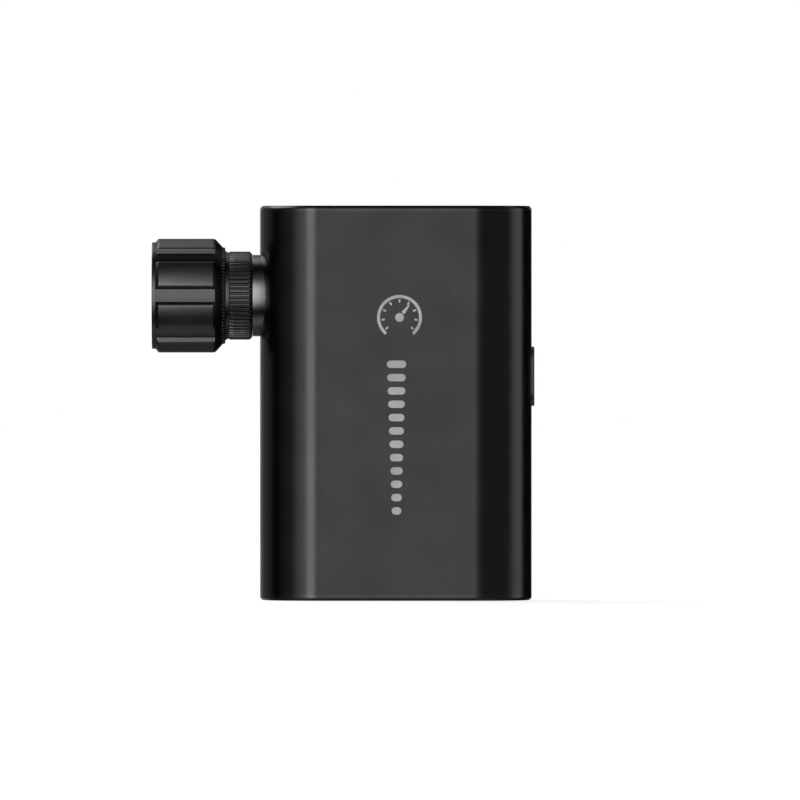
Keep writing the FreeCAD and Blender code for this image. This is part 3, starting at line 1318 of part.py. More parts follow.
# ---------------------------------------------------------------- all nodes
NODES = {
    "housing_shell": make_housing_shell,
    "top_cap": make_top_cap,
    "bottom_cap": make_bottom_cap,
    "top_cap_screws": lambda: case_screws(BODY_H, -Z),
    "bottom_cap_screws": lambda: case_screws(0, Z),
    "outlet_neck": make_outlet_neck,
    "neck_o_ring": make_neck_o_ring,
    "chuck_cap": make_chuck_cap,
    "grip_sleeve": make_grip_sleeve,
    "slip_washer": make_slip_washer,
    "valve_gasket": make_valve_gasket,
    "core_plunger": make_core_plunger,
    "check_valve": make_check_valve,
    "valve_spring": make_valve_spring,
    "cylinder_tube": make_cylinder_tube,
    "cylinder_head": make_cylinder_head,
    "head_gasket": make_head_gasket,
    "head_screws": make_head_screws,
    "piston": make_piston,
    "piston_seal": make_piston_seal,
    "seal_retainer": make_seal_retainer,
    "wrist_pin": make_wrist_pin,
    "connecting_rod": make_connecting_rod,
    "big_end_bearing": make_big_end_bearing,
    "crank_pin": make_crank_pin,
    "crank_gear": make_crank_gear,
    "counterweight": make_counterweight,
    "crank_bearings": make_crank_bearings,
    "crank_axle": make_crank_axle,
    "pinion": make_pinion,
    "motor_can": make_motor_can,
    "motor_end_bell": make_motor_end_bell,
    "motor_bushings": make_motor_bushings,
    "motor_magnets": make_motor_magnets,
    "motor_brushes": make_motor_brushes,
    "motor_screws": make_motor_screws,
    "motor_shaft": make_motor_shaft,
    "armature_core": make_armature_core,
    "armature_windings": make_armature_windings,
    "commutator": make_commutator,
    "drive_frame": make_drive_frame,
    "bottom_spacer": make_bottom_spacer,
    "motor_foam": make_motor_foam,
    "battery_cell_inner": lambda: battery_cell(CELL_LEFT),
    "battery_cell_outer": lambda: battery_cell(CELL_LEFT + CELL_T + CELL_GAP),
    "cell_link": make_cell_link,
    "battery_lead_red": lambda: battery_lead(WIRE_Y),
    "battery_lead_black": lambda: battery_lead(-WIRE_Y),
    "motor_lead_red": lambda: motor_lead(WIRE_Y),
    "motor_lead_black": lambda: motor_lead(-WIRE_Y),
    "main_board": make_main_board,
    "board_chips": make_board_chips,
    "tact_switch": make_tact_switch,
    "switch_pin": make_switch_pin,
    "power_button": make_power_button,
    "usb_socket": make_usb_socket,
    "usb_tongue": make_usb_tongue,
    "status_led": make_status_led,
    "light_pipe": make_light_pipe,
}


def main():
    os.makedirs("parts", exist_ok=True)
    for name, make in NODES.items():
        made = make()
        shape = Part.makeCompound(made) if isinstance(made, list) else made
        sound = shape.isValid() and all(s.Volume > 0 for s in shape.Solids)
        shape.exportStep(f"parts/{name}.step")
        print(f"{name}: {len(shape.Solids)} solids, {shape.Volume:.1f} mm3{'' if sound else ', NOT SOUND'}")


main()
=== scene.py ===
"""Pocket electric tyre pump: its outer surfaces, the finish of every part, and the studio.

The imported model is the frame. Housing, end caps, chuck, grip, neck and button get finer
surfaces here, each a closed grid worked out from its own sizes in metres, and every other
part keeps its shape and gets its finish. Z is up, the front face looks towards -Y and the
chuck leaves the left side towards -X.
"""

import json
import logging
import math
from collections.abc import Callable, Iterable, Sequence
from dataclasses import dataclass, field
from enum import Enum

import bpy
import numpy as np
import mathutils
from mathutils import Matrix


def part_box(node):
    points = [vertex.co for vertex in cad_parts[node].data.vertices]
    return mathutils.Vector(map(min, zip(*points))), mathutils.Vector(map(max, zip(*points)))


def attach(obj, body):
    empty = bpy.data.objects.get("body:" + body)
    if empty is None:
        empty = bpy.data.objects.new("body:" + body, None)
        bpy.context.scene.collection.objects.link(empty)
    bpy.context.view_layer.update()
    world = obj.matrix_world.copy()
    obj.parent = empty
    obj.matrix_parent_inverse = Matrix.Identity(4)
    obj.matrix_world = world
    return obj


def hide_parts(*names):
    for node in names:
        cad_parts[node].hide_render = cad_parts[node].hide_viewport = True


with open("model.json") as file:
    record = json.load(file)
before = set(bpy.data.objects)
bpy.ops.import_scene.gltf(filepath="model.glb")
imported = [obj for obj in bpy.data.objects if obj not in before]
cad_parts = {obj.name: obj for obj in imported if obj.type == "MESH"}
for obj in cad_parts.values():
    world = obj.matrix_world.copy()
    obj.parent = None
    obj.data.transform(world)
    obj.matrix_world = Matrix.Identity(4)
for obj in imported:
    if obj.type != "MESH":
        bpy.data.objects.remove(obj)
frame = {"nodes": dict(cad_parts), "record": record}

MM = 0.001
TURN = 2 * math.pi
RIGHT_ANGLE = math.pi / 2
NOZZLE_Z = 50.2 * MM
EDGE = "edge_wear"
TINY = 1e-9
WHITE = (1.0, 1.0, 1.0)
DUST = (0.45, 0.44, 0.42)

Array = np.ndarray
Colour = tuple[float, float, float]
Vector = tuple[float, float, float]
PointRule = Callable[[Array], Array]

log = logging.getLogger("tyre_pump")


# ---------------------------------------------------------------- surfaces
@dataclass
class Surface:
    """A closed surface before it becomes a mesh: points, four-sided faces and end faces."""

    points: Array
    quads: Array
    ends: list[Array] = field(default_factory=list)
    edge: Array | None = None

    def volume(self) -> float:
        """Signed volume: a sixth of the sum of a . (b x c) over the faces' triangles.

        Returns:
            The volume, below zero where the faces look inwards.
        """
        total = 0.0
        for a, b, c in ((0, 1, 2), (0, 2, 3)):
            p, q, r = (self.points[self.quads[:, k]] for k in (a, b, c))
            total += float(np.einsum("ij,ij->i", p, np.cross(q, r)).sum())
        for end in self.ends:
            p = self.points[end[0]]
            q = self.points[end[1:-1]]
            r = self.points[end[2:]]
            total += float((np.cross(q, r) @ p).sum())
        return total / 6

    def turned_out(self) -> "Surface":
        """The same surface with its faces looking outwards.

        Returns:
            This surface, or one with every face turned round.
        """
        if self.volume() >= 0:
            return self
        return Surface(self.points, self.quads[:, ::-1], [end[::-1] for end in self.ends], self.edge)

    def mesh(self, name: str) -> bpy.types.Mesh:
        """Writes the surface into a new mesh.

        Args:
            name: the mesh's name.

        Returns:
            A smooth-shaded mesh, with the share of edge wear at each point as an attribute.
        """
        out = self.turned_out()
        mesh = bpy.data.meshes.new(name)
        mesh.from_pydata(out.points.tolist(), [], out.quads.tolist() + [e.tolist() for e in out.ends])
        wear = np.zeros(len(out.points)) if out.edge is None else out.edge
        attribute = mesh.attributes.new(EDGE, "FLOAT", "POINT")
        attribute.data.foreach_set("value", wear.astype(np.float32))
        mesh.update()
        mesh.shade_smooth()
        return mesh


def grey(level: float) -> Colour:
    """A neutral colour."""
    return (level, level, level)


def joined(surfaces: Iterable[Surface]) -> Surface:
    """Several separate surfaces as one.

    Args:
        surfaces: closed surfaces that don't touch.

    Returns:
        One surface with all their points and faces.
    """
    points, quads, ends, edge = [], [], [], []
    offset = 0
    for each in surfaces:
        out = each.turned_out()
        points.append(out.points)
        quads.append(out.quads + offset)
        ends += [end + offset for end in out.ends]
        edge.append(np.zeros(len(out.points)) if out.edge is None else out.edge)
        offset += len(out.points)
    return Surface(np.concatenate(points), np.concatenate(quads), ends, np.concatenate(edge))


def grid_surface(grid: Array, tube: bool, edge: Array | None = None) -> Surface:
    """Closes a grid of points whose columns run once round.

    Face (i, j) joins points (i, j), (i, j+1), (i+1, j+1) and (i+1, j), columns counted round.

    Args:
        grid: points by row and column, shaped (rows, columns, 3).
        tube: True where the last row joins the first, as on a ring. False closes the first
            and the last row with a face each.
        edge: share of edge wear at each point, shaped (rows, columns).

    Returns:
        The closed surface.
    """
    rows, columns = grid.shape[:2]
    index = np.arange(rows * columns).reshape(rows, columns)
    right = np.roll(index, -1, axis=1)
    below = np.roll(index, -1, axis=0)
    below_right = np.roll(right, -1, axis=0)
    quads = np.stack([index, right, below_right, below], axis=-1)
    quads = quads if tube else quads[:-1]
    ends = [] if tube else [index[0][::-1], index[-1]]
    wear = None if edge is None else edge.reshape(-1)
    return Surface(grid.reshape(-1, 3), quads.reshape(-1, 4), ends, wear)


def rounded_profile(corners: Sequence[tuple[float, float, float]], steps: int, closed: bool) -> Array:
    """A profile of straight runs with each corner replaced by a short curve.

    At a corner P with size s the curve is the parabola (1-t)^2 A + 2t(1-t) P + t^2 B, where A
    and B lie s before and s after P on its two runs.

    Args:
        corners: (u, v, s) for each corner, s being the size of its curve, or 0 for a sharp one.
        steps: pieces in each curve.
        closed: True where the last corner runs on to the first.

    Returns:
        The profile's points, shaped (n, 2).
    """
    count = len(corners)
    share = np.linspace(0.0, 1.0, steps + 1)[:, None]
    out = []
    for i, (u, v, size) in enumerate(corners):
        here = np.array([u, v])
        if size == 0 or (not closed and i in (0, count - 1)):
            out.append(here[None])
            continue
        before = np.array(corners[i - 1][:2]) - here
        after = np.array(corners[(i + 1) % count][:2]) - here
        start = here + before / np.linalg.norm(before) * size
        stop = here + after / np.linalg.norm(after) * size
        out.append((1 - share) ** 2 * start + 2 * share * (1 - share) * here + share**2 * stop)
    return np.concatenate(out)


def rings(x: Array, radius: Array, angles: Array) -> Array:
    """Rings about the chuck's axis: (x, -r cos a, z0 + r sin a), counted from the front.

    Args:
        x: place of each ring, shaped (rows,).
        radius: radius of each ring, shaped (rows,) or (rows, columns).
        angles: angle of each column, in radians.

    Returns:
        Points shaped (rows, columns, 3).
    """
    size = np.broadcast_to(radius if radius.ndim == 2 else radius[:, None], (len(x), len(angles)))
    along = np.broadcast_to(x[:, None], size.shape)
    return np.stack([along, -size * np.cos(angles), NOZZLE_Z + size * np.sin(angles)], axis=-1)


def even_angles(count: int) -> Array:
    """Angles evenly spread round a circle."""
    return np.arange(count) * TURN / count


@dataclass(frozen=True)
class Loop:
    """A closed outline of arcs: point j is centre_j + (radius_j - inset)(cos a_j, sin a_j)."""

    centre: Array
    radius: Array
    angle: Array

    def carried(self, profile: Array) -> Array:
        """Carries a profile round the outline.

        Args:
            profile: (inset, height) for each row.

        Returns:
            Points shaped (rows, columns, 3), with the outline in XY and the height in Z.
        """
        reach = self.radius[None, :] - profile[:, :1]
        x = self.centre[:, 0] + reach * np.cos(self.angle)
        y = self.centre[:, 1] + reach * np.sin(self.angle)
        return np.stack([x, y, np.broadcast_to(profile[:, 1:], x.shape)], axis=-1)


@dataclass(frozen=True)
class Stadium:
    """Two half circles of radius wide/2 joined by straight runs, long in the second axis."""

    long: float
    wide: float
    steps: int = 24

    def loop(self) -> Loop:
        """The outline, counted round from the first axis.

        Returns:
            The outline as arcs with their centres.
        """
        half = (self.long - self.wide) / 2
        arc = np.linspace(0.0, math.pi, self.steps + 1)
        angle = np.concatenate([arc, arc + math.pi])
        centre = np.zeros((len(angle), 2))
        centre[:, 1] = np.repeat([half, -half], len(arc))
        return Loop(centre, np.full(len(angle), self.wide / 2), angle)

    def along_z(self, profile: Array, x: float, y: float = 0.0) -> Surface:
        """A bar along Z from (inset, z) rows, long in Y."""
        grid = self.loop().carried(profile) + np.array([x, y, 0.0])
        return grid_surface(grid, tube=False)

    def along_x(self, profile: Array, z: float) -> Array:
        """Points of a bar along X from (inset, x) rows, long in Z."""
        grid = self.loop().carried(profile)
        return np.stack([grid[..., 2], grid[..., 0], grid[..., 1] + z], axis=-1)


# ---------------------------------------------------------------- pieces
class Carving(Enum):
    """What a tool does to the piece that it meets."""

    CUT = "DIFFERENCE"
    ADD = "UNION"


class Pieces:
    """Makes finished objects out of surfaces and puts them in the frame."""

    @staticmethod
    def new(name: str, mesh: bpy.types.Mesh) -> bpy.types.Object:
        """A new object at the origin that shows a mesh.

        Args:
            name: the object's name.
            mesh: what it shows.

        Returns:
            The object, linked to the scene.
        """
        piece = bpy.data.objects.new(name, mesh)
        bpy.context.scene.collection.objects.link(piece)
        return piece

    @staticmethod
    def settle(piece: bpy.types.Object) -> None:
        """Replaces a piece's mesh with what its modifiers make of it.

        Args:
            piece: the object to change.
        """
        graph = bpy.context.evaluated_depsgraph_get()
        mesh = bpy.data.meshes.new_from_object(piece.evaluated_get(graph))
        piece.modifiers.clear()
        piece.data = mesh

    @classmethod
    def carve(cls, piece: bpy.types.Object, tool: Surface, how: Carving) -> None:
        """Cuts a tool's surface out of a piece, or adds it.

        Args:
            piece: the object that changes.
            tool: closed surfaces to cut away or add.
            how: which of the two.
        """
        cutter = cls.new("carving_tool", tool.mesh("carving_tool"))
        modifier = piece.modifiers.new("carving", "BOOLEAN")
        modifier.operation = how.value
        modifier.solver = "EXACT"
        modifier.object = cutter
        cls.settle(piece)
        mesh = cutter.data
        bpy.data.objects.remove(cutter)
        bpy.data.meshes.remove(mesh)

    @staticmethod
    def read(source: object, field_name: str, count: int, kind: type = float) -> Array:
        """Numbers of one field of a mesh's elements, as one flat array.

        Args:
            source: the elements.
            field_name: the field's name.
            count: how many numbers it holds.
            kind: the numbers' type.

        Returns:
            The numbers.
        """
        values = np.empty(count, dtype=kind)
        source.foreach_get(field_name, values)
        return values

    @classmethod
    def points(cls, mesh: bpy.types.Mesh) -> Array:
        """A mesh's points, shaped (n, 3)."""
        return cls.read(mesh.vertices, "co", len(mesh.vertices) * 3).reshape(-1, 3)

    @classmethod
    def facing(cls, mesh: bpy.types.Mesh) -> Array:
        """The direction of its face at each face corner, shaped (corners, 3).

        Args:
            mesh: the mesh to read.

        Returns:
            Unit directions, one for each corner.
        """
        sizes = cls.read(mesh.polygons, "loop_total", len(mesh.polygons), np.int32)
        facing = cls.read(mesh.polygons, "normal", len(mesh.polygons) * 3)
        return np.repeat(facing.reshape(-1, 3), sizes, axis=0)

    @classmethod
    def set_wear(cls, piece: bpy.types.Object, rule: PointRule) -> None:
        """Sets the share of edge wear at each point of a carved piece.

        Args:
            piece: the object to change.
            rule: function from points (n, 3) to shares (n,).
        """
        share = rule(cls.points(piece.data))
        piece.data.attributes[EDGE].data.foreach_set("value", share.astype(np.float32))

    @classmethod
    def level(cls, piece: bpy.types.Object, rules: Sequence[PointRule], limit: float = 0.95) -> None:
        """Gives each face corner the true surface's direction.

        A corner takes the first rule's direction n with |n . f| above the limit, turned to
        the face's own side, where f is the face's direction. Other corners keep f.

        Args:
            piece: the object to shade.
            rules: functions from points (n, 3) to unit directions (n, 3).
            limit: how near a rule's direction lies to the face's.
        """
        mesh = piece.data
        points = cls.points(mesh)[cls.read(mesh.loops, "vertex_index", len(mesh.loops), np.int32)]
        facing = cls.facing(mesh)
        chosen = facing.copy()
        free = np.ones(len(facing), dtype=bool)
        for rule in rules:
            direction = rule(points)
            match = np.einsum("ij,ij->i", direction, facing)
            take = free & (np.abs(match) > limit)
            chosen[take] = direction[take] * np.sign(match[take])[:, None]
            free &= ~take
        mesh.shade_smooth()
        mesh.normals_split_custom_set(chosen.tolist())

    @staticmethod
    def crease(piece: bpy.types.Object, degrees: float) -> None:
        """Shades a piece smooth, but for the edges that turn by more than an angle."""
        piece.data.shade_smooth()
        piece.data.set_sharp_from_angle(angle=math.radians(degrees))

    @classmethod
    def even_out(cls, piece: bpy.types.Object) -> None:
        """Shades broad faces level and leaves the bending to the narrow faces beside them.

        Args:
            piece: the object to shade.
        """
        modifier = piece.modifiers.new("level", "WEIGHTED_NORMAL")
        modifier.keep_sharp = True
        modifier.weight = 100
        cls.settle(piece)

    @classmethod
    def flatten(cls, piece: bpy.types.Object, limit: float = 0.9999) -> None:
        """Shades the faces that look straight up or down exactly level, and keeps the others.

        Args:
            piece: the object to shade.
            limit: the least upward or downward share of such a face's direction.
        """
        mesh = piece.data
        chosen = cls.read(mesh.corner_normals, "vector", len(mesh.loops) * 3).reshape(-1, 3)
        up = cls.facing(mesh)[:, 2]
        level = np.abs(up) > limit
        chosen[level] = np.sign(up[level])[:, None] * [0.0, 0.0, 1.0]
        mesh.normals_split_custom_set(chosen.tolist())

    @staticmethod
    def place(
        piece: bpy.types.Object,
        body: str,
        slot: str,
        material: bpy.types.Material,
        stands_for: Sequence[str] = (),
    ) -> None:
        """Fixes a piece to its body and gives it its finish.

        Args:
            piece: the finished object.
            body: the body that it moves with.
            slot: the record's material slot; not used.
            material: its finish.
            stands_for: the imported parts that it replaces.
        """
        piece.data.materials.clear()
        piece.data.materials.append(material)
        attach(piece, body)
        if stands_for:
            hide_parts(*stands_for)
        corners = np.array([v for v in piece.bound_box])
        low, high = corners.min(axis=0), corners.max(axis=0)
        far = 0.0
        for name in stands_for:
            node_low, node_high = (np.array(c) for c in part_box(name))
            far = max(far, float(np.abs(low - node_low).max()), float(np.abs(high - node_high).max()))
        log.info("%s: %d faces, %.3f mm from its part's box", piece.name, len(piece.data.polygons), far / MM)


# ---------------------------------------------------------------- node graphs
class Graph:
    """Adds nodes to one node tree, and joins them."""

    def __init__(self, tree: bpy.types.NodeTree) -> None:
        """Starts on an emptied tree."""
        self.tree = tree
        self.count = 0

    def node(self, kind: str, inputs: dict | None = None, **settings: object) -> bpy.types.Node:
        """Adds a node.

        Args:
            kind: the node's type name.
            inputs: a value or another node's socket for each named or numbered input.
            **settings: the node's own settings.

        Returns:
            The new node.
        """
        node = self.tree.nodes.new(kind)
        node.location = (self.count * 180.0, -(self.count % 4) * 160.0)
        self.count += 1
        for name, value in settings.items():
            setattr(node, name, value)
        for name, value in (inputs or {}).items():
            self.feed(node.inputs[name], value)
        return node

    def feed(self, socket: bpy.types.NodeSocket, value: object) -> None:
        """Joins a socket to another one, or sets its value.

        Args:
            socket: the input to fill.
            value: another node's socket, a number or a colour.
        """
        if isinstance(value, bpy.types.NodeSocket):
            self.tree.links.new(value, socket)
            return
        if socket.type == "RGBA" and len(value) == 3:
            value = (*value, 1.0)
        socket.default_value = value

    def maths(self, operation: str, *values: object) -> bpy.types.NodeSocket:
        """The result of one Math node."""
        return self.node("ShaderNodeMath", dict(enumerate(values)), operation=operation).outputs[0]

    def spread(
        self, value: object, low: float, high: float, to_low: float, to_high: float
    ) -> bpy.types.NodeSocket:
        """A value's range smoothly mapped to another.

        Args:
            value: what to map.
            low: start of its range.
            high: end of its range.
            to_low: result at the start.
            to_high: result at the end.

        Returns:
            The mapped value.
        """
        inputs = {"Value": value, 1: low, 2: high, 3: to_low, 4: to_high}
        node = self.node("ShaderNodeMapRange", inputs, interpolation_type="SMOOTHSTEP")
        return node.outputs[0]

    def blend(self, share: object, first: object, second: object) -> bpy.types.NodeSocket:
        """Two colours mixed by a share of the second.

        Args:
            share: share of the second colour.
            first: colour at a share of 0.
            second: colour at a share of 1.

        Returns:
            The mixed colour.
        """
        node = self.node("ShaderNodeMix", data_type="RGBA")
        self.feed(node.inputs[0], share)
        self.feed(node.inputs[6], first)
        self.feed(node.inputs[7], second)
        return node.outputs[2]

    def noise(self, where: object, scale: object, detail: float, rough: float = 0.5) -> bpy.types.NodeSocket:
        """Noise between 0 and 1 about a half."""
        inputs = {"Vector": where, "Scale": scale, "Detail": detail, "Roughness": rough}
        return self.node("ShaderNodeTexNoise", inputs).outputs[0]

    def group(self, tree: bpy.types.NodeTree, **inputs: object) -> dict[str, bpy.types.NodeSocket]:
        """Places a node group with its inputs, and gives its outputs by name."""
        return dict(self.node("ShaderNodeGroup", inputs, node_tree=tree).outputs.items())

    def times(self, first: object, second: object) -> bpy.types.NodeSocket:
        """The product of two values."""
        return self.maths("MULTIPLY", first, second)

    def plus(self, first: object, second: object) -> bpy.types.NodeSocket:
        """The sum of two values."""
        return self.maths("ADD", first, second)

    def weighed(self, first: object, second: object, share: float) -> bpy.types.NodeSocket:
        """Two values mixed, with the first one's share."""
        return self.plus(self.times(first, share), self.times(second, 1 - share))


GroupParts = tuple[Graph, dict[str, bpy.types.NodeSocket], dict[str, bpy.types.NodeSocket]]


def new_group(name: str, vectors: Sequence[str], floats: Sequence[str], out: Sequence[str]) -> GroupParts:
    """A new node group with its sockets.

    Args:
        name: the group's name.
        vectors: names of its vector inputs.
        floats: names of its plain inputs, which follow.
        out: names of its outputs, all plain values.

    Returns:
        A graph on the group, its input sockets and its output sockets by name.
    """
    tree = bpy.data.node_groups.new(name, "ShaderNodeTree")
    kinds = [(label, "INPUT", "NodeSocketVector") for label in vectors]
    kinds += [(label, "INPUT", "NodeSocketFloat") for label in floats]
    kinds += [(label, "OUTPUT", "NodeSocketFloat") for label in out]
    for label, side, kind in kinds:
        tree.interface.new_socket(name=label, in_out=side, socket_type=kind)
    graph = Graph(tree)
    given = graph.node("NodeGroupInput").outputs
    wanted = graph.node("NodeGroupOutput").inputs
    return graph, dict(given.items()), dict(wanted.items())


@dataclass
class Effects:
    """Effects that many finishes share, each a node group built once.

    Scales are in cells per metre, or multiples of the group's own scale.
    """

    coarse_scale: float = 0.31
    mottle_scale: float = 0.025
    fine_share: float = 0.65
    broad_share: float = 0.55
    fine_lines: float = 3.7
    smudge_scale: float = 62.0
    smudge_range: tuple[float, float] = (0.42, 0.68)
    speck_scale: float = 520.0
    speck_size: tuple[float, float] = (0.035, 0.075)
    patch_scale: float = 140.0
    patch_range: tuple[float, float] = (0.55, 0.66)
    break_scale: float = 900.0
    wear_range: tuple[float, float] = (0.25, 0.85)

    def __post_init__(self) -> None:
        """Builds the groups."""
        self.grain = self.build_grain()
        self.streaks = self.build_streaks()
        self.handling = self.build_handling()
        self.wear = self.build_wear()

    def build_grain(self) -> bpy.types.NodeTree:
        """Fine grain: a blasted or moulded skin's height, and a slow mottle of its shade.

        Returns:
            The group, which puts out Height and Mottle.
        """
        graph, given, wanted = new_group("fine_grain", ["Vector"], ["Scale"], ["Height", "Mottle"])
        where, scale = given["Vector"], given["Scale"]
        fine = graph.noise(where, scale, 2.0, 0.6)
        coarse = graph.noise(where, graph.times(scale, self.coarse_scale), 1.0)
        graph.feed(wanted["Height"], graph.weighed(fine, coarse, self.fine_share))
        slow = graph.noise(where, graph.times(scale, self.mottle_scale), 3.0)
        graph.feed(wanted["Mottle"], graph.spread(slow, 0.3, 0.7, 0.0, 1.0))
        return graph.tree

    def build_streaks(self) -> bpy.types.NodeTree:
        """Lines along a direction: noise stretched by a vector of line counts per metre.

        Returns:
            The group, which puts out Height.
        """
        graph, given, wanted = new_group("tool_lines", ["Vector", "Counts"], [], ["Height"])
        inputs = {0: given["Vector"], 1: given["Counts"]}
        where = graph.node("ShaderNodeVectorMath", inputs, operation="MULTIPLY").outputs[0]
        broad = graph.noise(where, 1.0, 1.0)
        fine = graph.noise(where, self.fine_lines, 2.0)
        graph.feed(wanted["Height"], graph.weighed(broad, fine, self.broad_share))
        return graph.tree

    def build_handling(self) -> bpy.types.NodeTree:
        """Traces of use: soft smudges, and sparse specks of dust in patches.

        Returns:
            The group, which puts out Smudge and Dust.
        """
        graph, given, wanted = new_group("handling_marks", ["Vector"], [], ["Smudge", "Dust"])
        where = given["Vector"]
        slow = graph.noise(where, self.smudge_scale, 4.0, 0.55)
        graph.feed(wanted["Smudge"], graph.spread(slow, *self.smudge_range, 0.0, 1.0))
        cell = graph.node("ShaderNodeTexVoronoi", {"Vector": where, "Scale": self.speck_scale}).outputs[0]
        speck = graph.spread(cell, *self.speck_size, 1.0, 0.0)
        patch = graph.spread(graph.noise(where, self.patch_scale, 1.0), *self.patch_range, 0.0, 1.0)
        graph.feed(wanted["Dust"], graph.times(speck, patch))
        return graph.tree

    def build_wear(self) -> bpy.types.NodeTree:
        """Wear along edges: the edge's share, broken up by fine noise.

        Returns:
            The group, which puts out Mask.
        """
        graph, given, wanted = new_group("worn_edges", ["Vector"], ["Edge", "Amount"], ["Mask"])
        broken = graph.noise(given["Vector"], self.break_scale, 3.0, 0.65)
        reach = graph.times(given["Edge"], graph.plus(broken, 0.45))
        mask = graph.spread(reach, *self.wear_range, 0.0, 1.0)
        graph.feed(wanted["Mask"], graph.times(mask, given["Amount"]))
        return graph.tree


# ---------------------------------------------------------------- finishes
@dataclass(frozen=True)
class Looks:
    """What a finish feeds its shader: the colour, the roughness and the height in metres."""

    colour: bpy.types.NodeSocket
    gloss: bpy.types.NodeSocket
    height: bpy.types.NodeSocket


@dataclass(frozen=True)
class Finish:
    """One material's look: its colours, its gloss, its grain and its traces of use."""

    name: str
    colour: Colour
    second: Colour
    roughness: float
    metallic: float = 0.0
    spread: float = 0.05
    grain: float = 5200.0
    depth: float = 0.012 * MM
    lines: Vector | None = None
    line_depth: float = 0.0
    worn: Colour | None = None
    wear: float = 0.0
    smudge: float = 0.0
    dust: float = 0.0
    ior: float = 1.5
    coat: float = 0.0
    coat_roughness: float = 0.1
    anisotropic: float = 0.0
    sheen: float = 0.0
    transmission: float = 0.0
    alpha: float = 1.0

    def build(self, effects: Effects) -> bpy.types.Material:
        """Makes the material.

        Args:
            effects: the shared groups.

        Returns:
            The material, with its shader's constants set on its own sockets.
        """
        material = bpy.data.materials.new(self.name)
        material.use_nodes = True
        material.node_tree.nodes.clear()
        graph = Graph(material.node_tree)
        shader = graph.node("ShaderNodeBsdfPrincipled")
        graph.node("ShaderNodeOutputMaterial", {"Surface": shader.outputs[0]})
        where = graph.node("ShaderNodeTexCoord").outputs["Object"]
        constants = {
            "Metallic": self.metallic,
            "IOR": self.ior,
            "Coat Weight": self.coat,
            "Coat Roughness": self.coat_roughness,
            "Anisotropic": self.anisotropic,
            "Sheen Weight": self.sheen,
            "Transmission Weight": self.transmission,
            "Alpha": self.alpha,
        }
        for socket, value in constants.items():
            shader.inputs[socket].default_value = value
        self.paint(graph, effects, shader, where)
        return material

    def paint(
        self, graph: Graph, effects: Effects, shader: bpy.types.Node, where: bpy.types.NodeSocket
    ) -> None:
        """Feeds the shader what changes over the surface.

        Args:
            graph: the material's graph.
            effects: the shared groups.
            shader: the material's shader.
            where: the object's coordinates.
        """
        skin = graph.group(effects.grain, Vector=where, Scale=self.grain)
        colour = graph.blend(skin["Mottle"], self.colour, self.second)
        gloss = graph.spread(skin["Mottle"], 0.0, 1.0, self.roughness, self.roughness + self.spread)
        height = graph.times(skin["Height"], self.depth)
        if self.lines is not None:
            tool = graph.group(effects.streaks, Vector=where, Counts=self.lines)["Height"]
            height = graph.plus(height, graph.times(tool, self.line_depth))
            gloss = graph.plus(gloss, graph.times(tool, self.spread))
        if self.smudge or self.dust:
            marks = graph.group(effects.handling, Vector=where)
            gloss = graph.plus(gloss, graph.times(marks["Smudge"], self.smudge))
            colour = graph.blend(graph.times(marks["Dust"], self.dust), colour, DUST)
        if self.worn is not None:
            edge = graph.node("ShaderNodeAttribute", attribute_name=EDGE).outputs["Fac"]
            rub = graph.group(effects.wear, Vector=where, Edge=edge, Amount=self.wear)
            colour = graph.blend(rub["Mask"], colour, self.worn)
        looks = self.extra(graph, where, Looks(colour, gloss, height))
        graph.feed(shader.inputs["Base Color"], looks.colour)
        graph.feed(shader.inputs["Roughness"], looks.gloss)
        bump = graph.node("ShaderNodeBump", {"Height": looks.height, "Distance": 1.0, "Strength": 1.0})
        graph.feed(shader.inputs["Normal"], bump.outputs[0])

    def extra(self, graph: Graph, where: bpy.types.NodeSocket, looks: Looks) -> Looks:
        """What one kind of finish adds: here nothing.

        Args:
            graph: the material's graph.
            where: the object's coordinates.
            looks: the looks so far.

        Returns:
            The looks with what it adds.
        """
        return looks


@dataclass(frozen=True)
class FoamFinish(Finish):
    """Open-celled foam: pits in a mesh of walls, with painted shade in the pits."""

    cells: float = 1500.0
    # share of the colour left at a pit's floor by the painted shade
    shade: float = 0.35
    pit_share: float = 0.33

    def extra(self, graph: Graph, where: bpy.types.NodeSocket, looks: Looks) -> Looks:
        """Adds pits as deep as a third of a cell, their floors darkened by painted shade.

        Args:
            graph: the material's graph.
            where: the object's coordinates.
            looks: the looks so far.

        Returns:
            The looks with what it adds.
        """
        pit = graph.node("ShaderNodeTexVoronoi", {"Vector": where, "Scale": self.cells}).outputs[0]
        # painted shade: the colour darkens towards each pit's floor, where the pit is deepest
        shade = graph.spread(pit, 0.05, 0.55, 1.0, 0.0)
        colour = graph.blend(shade, looks.colour, tuple(self.shade * c for c in self.colour))
        height = graph.plus(looks.height, graph.times(pit, self.pit_share / self.cells))
        return Looks(colour, looks.gloss, height)


@dataclass(frozen=True)
class FoilFinish(Finish):
    """Laminated foil round a battery pouch: broad soft creases."""

    creases: float = 260.0
    rise: float = 0.5 * MM

    def extra(self, graph: Graph, where: bpy.types.NodeSocket, looks: Looks) -> Looks:
        """Adds folded creases: the distance of noise from its middle value.

        Args:
            graph: the material's graph.
            where: the object's coordinates.
            looks: the looks so far.

        Returns:
            The looks with what it adds.
        """
        fold = graph.noise(where, self.creases, 2.0, 0.4)
        ridge = graph.maths("ABSOLUTE", graph.maths("SUBTRACT", fold, 0.5))
        height = graph.plus(looks.height, graph.times(ridge, self.rise))
        return Looks(looks.colour, looks.gloss, height)


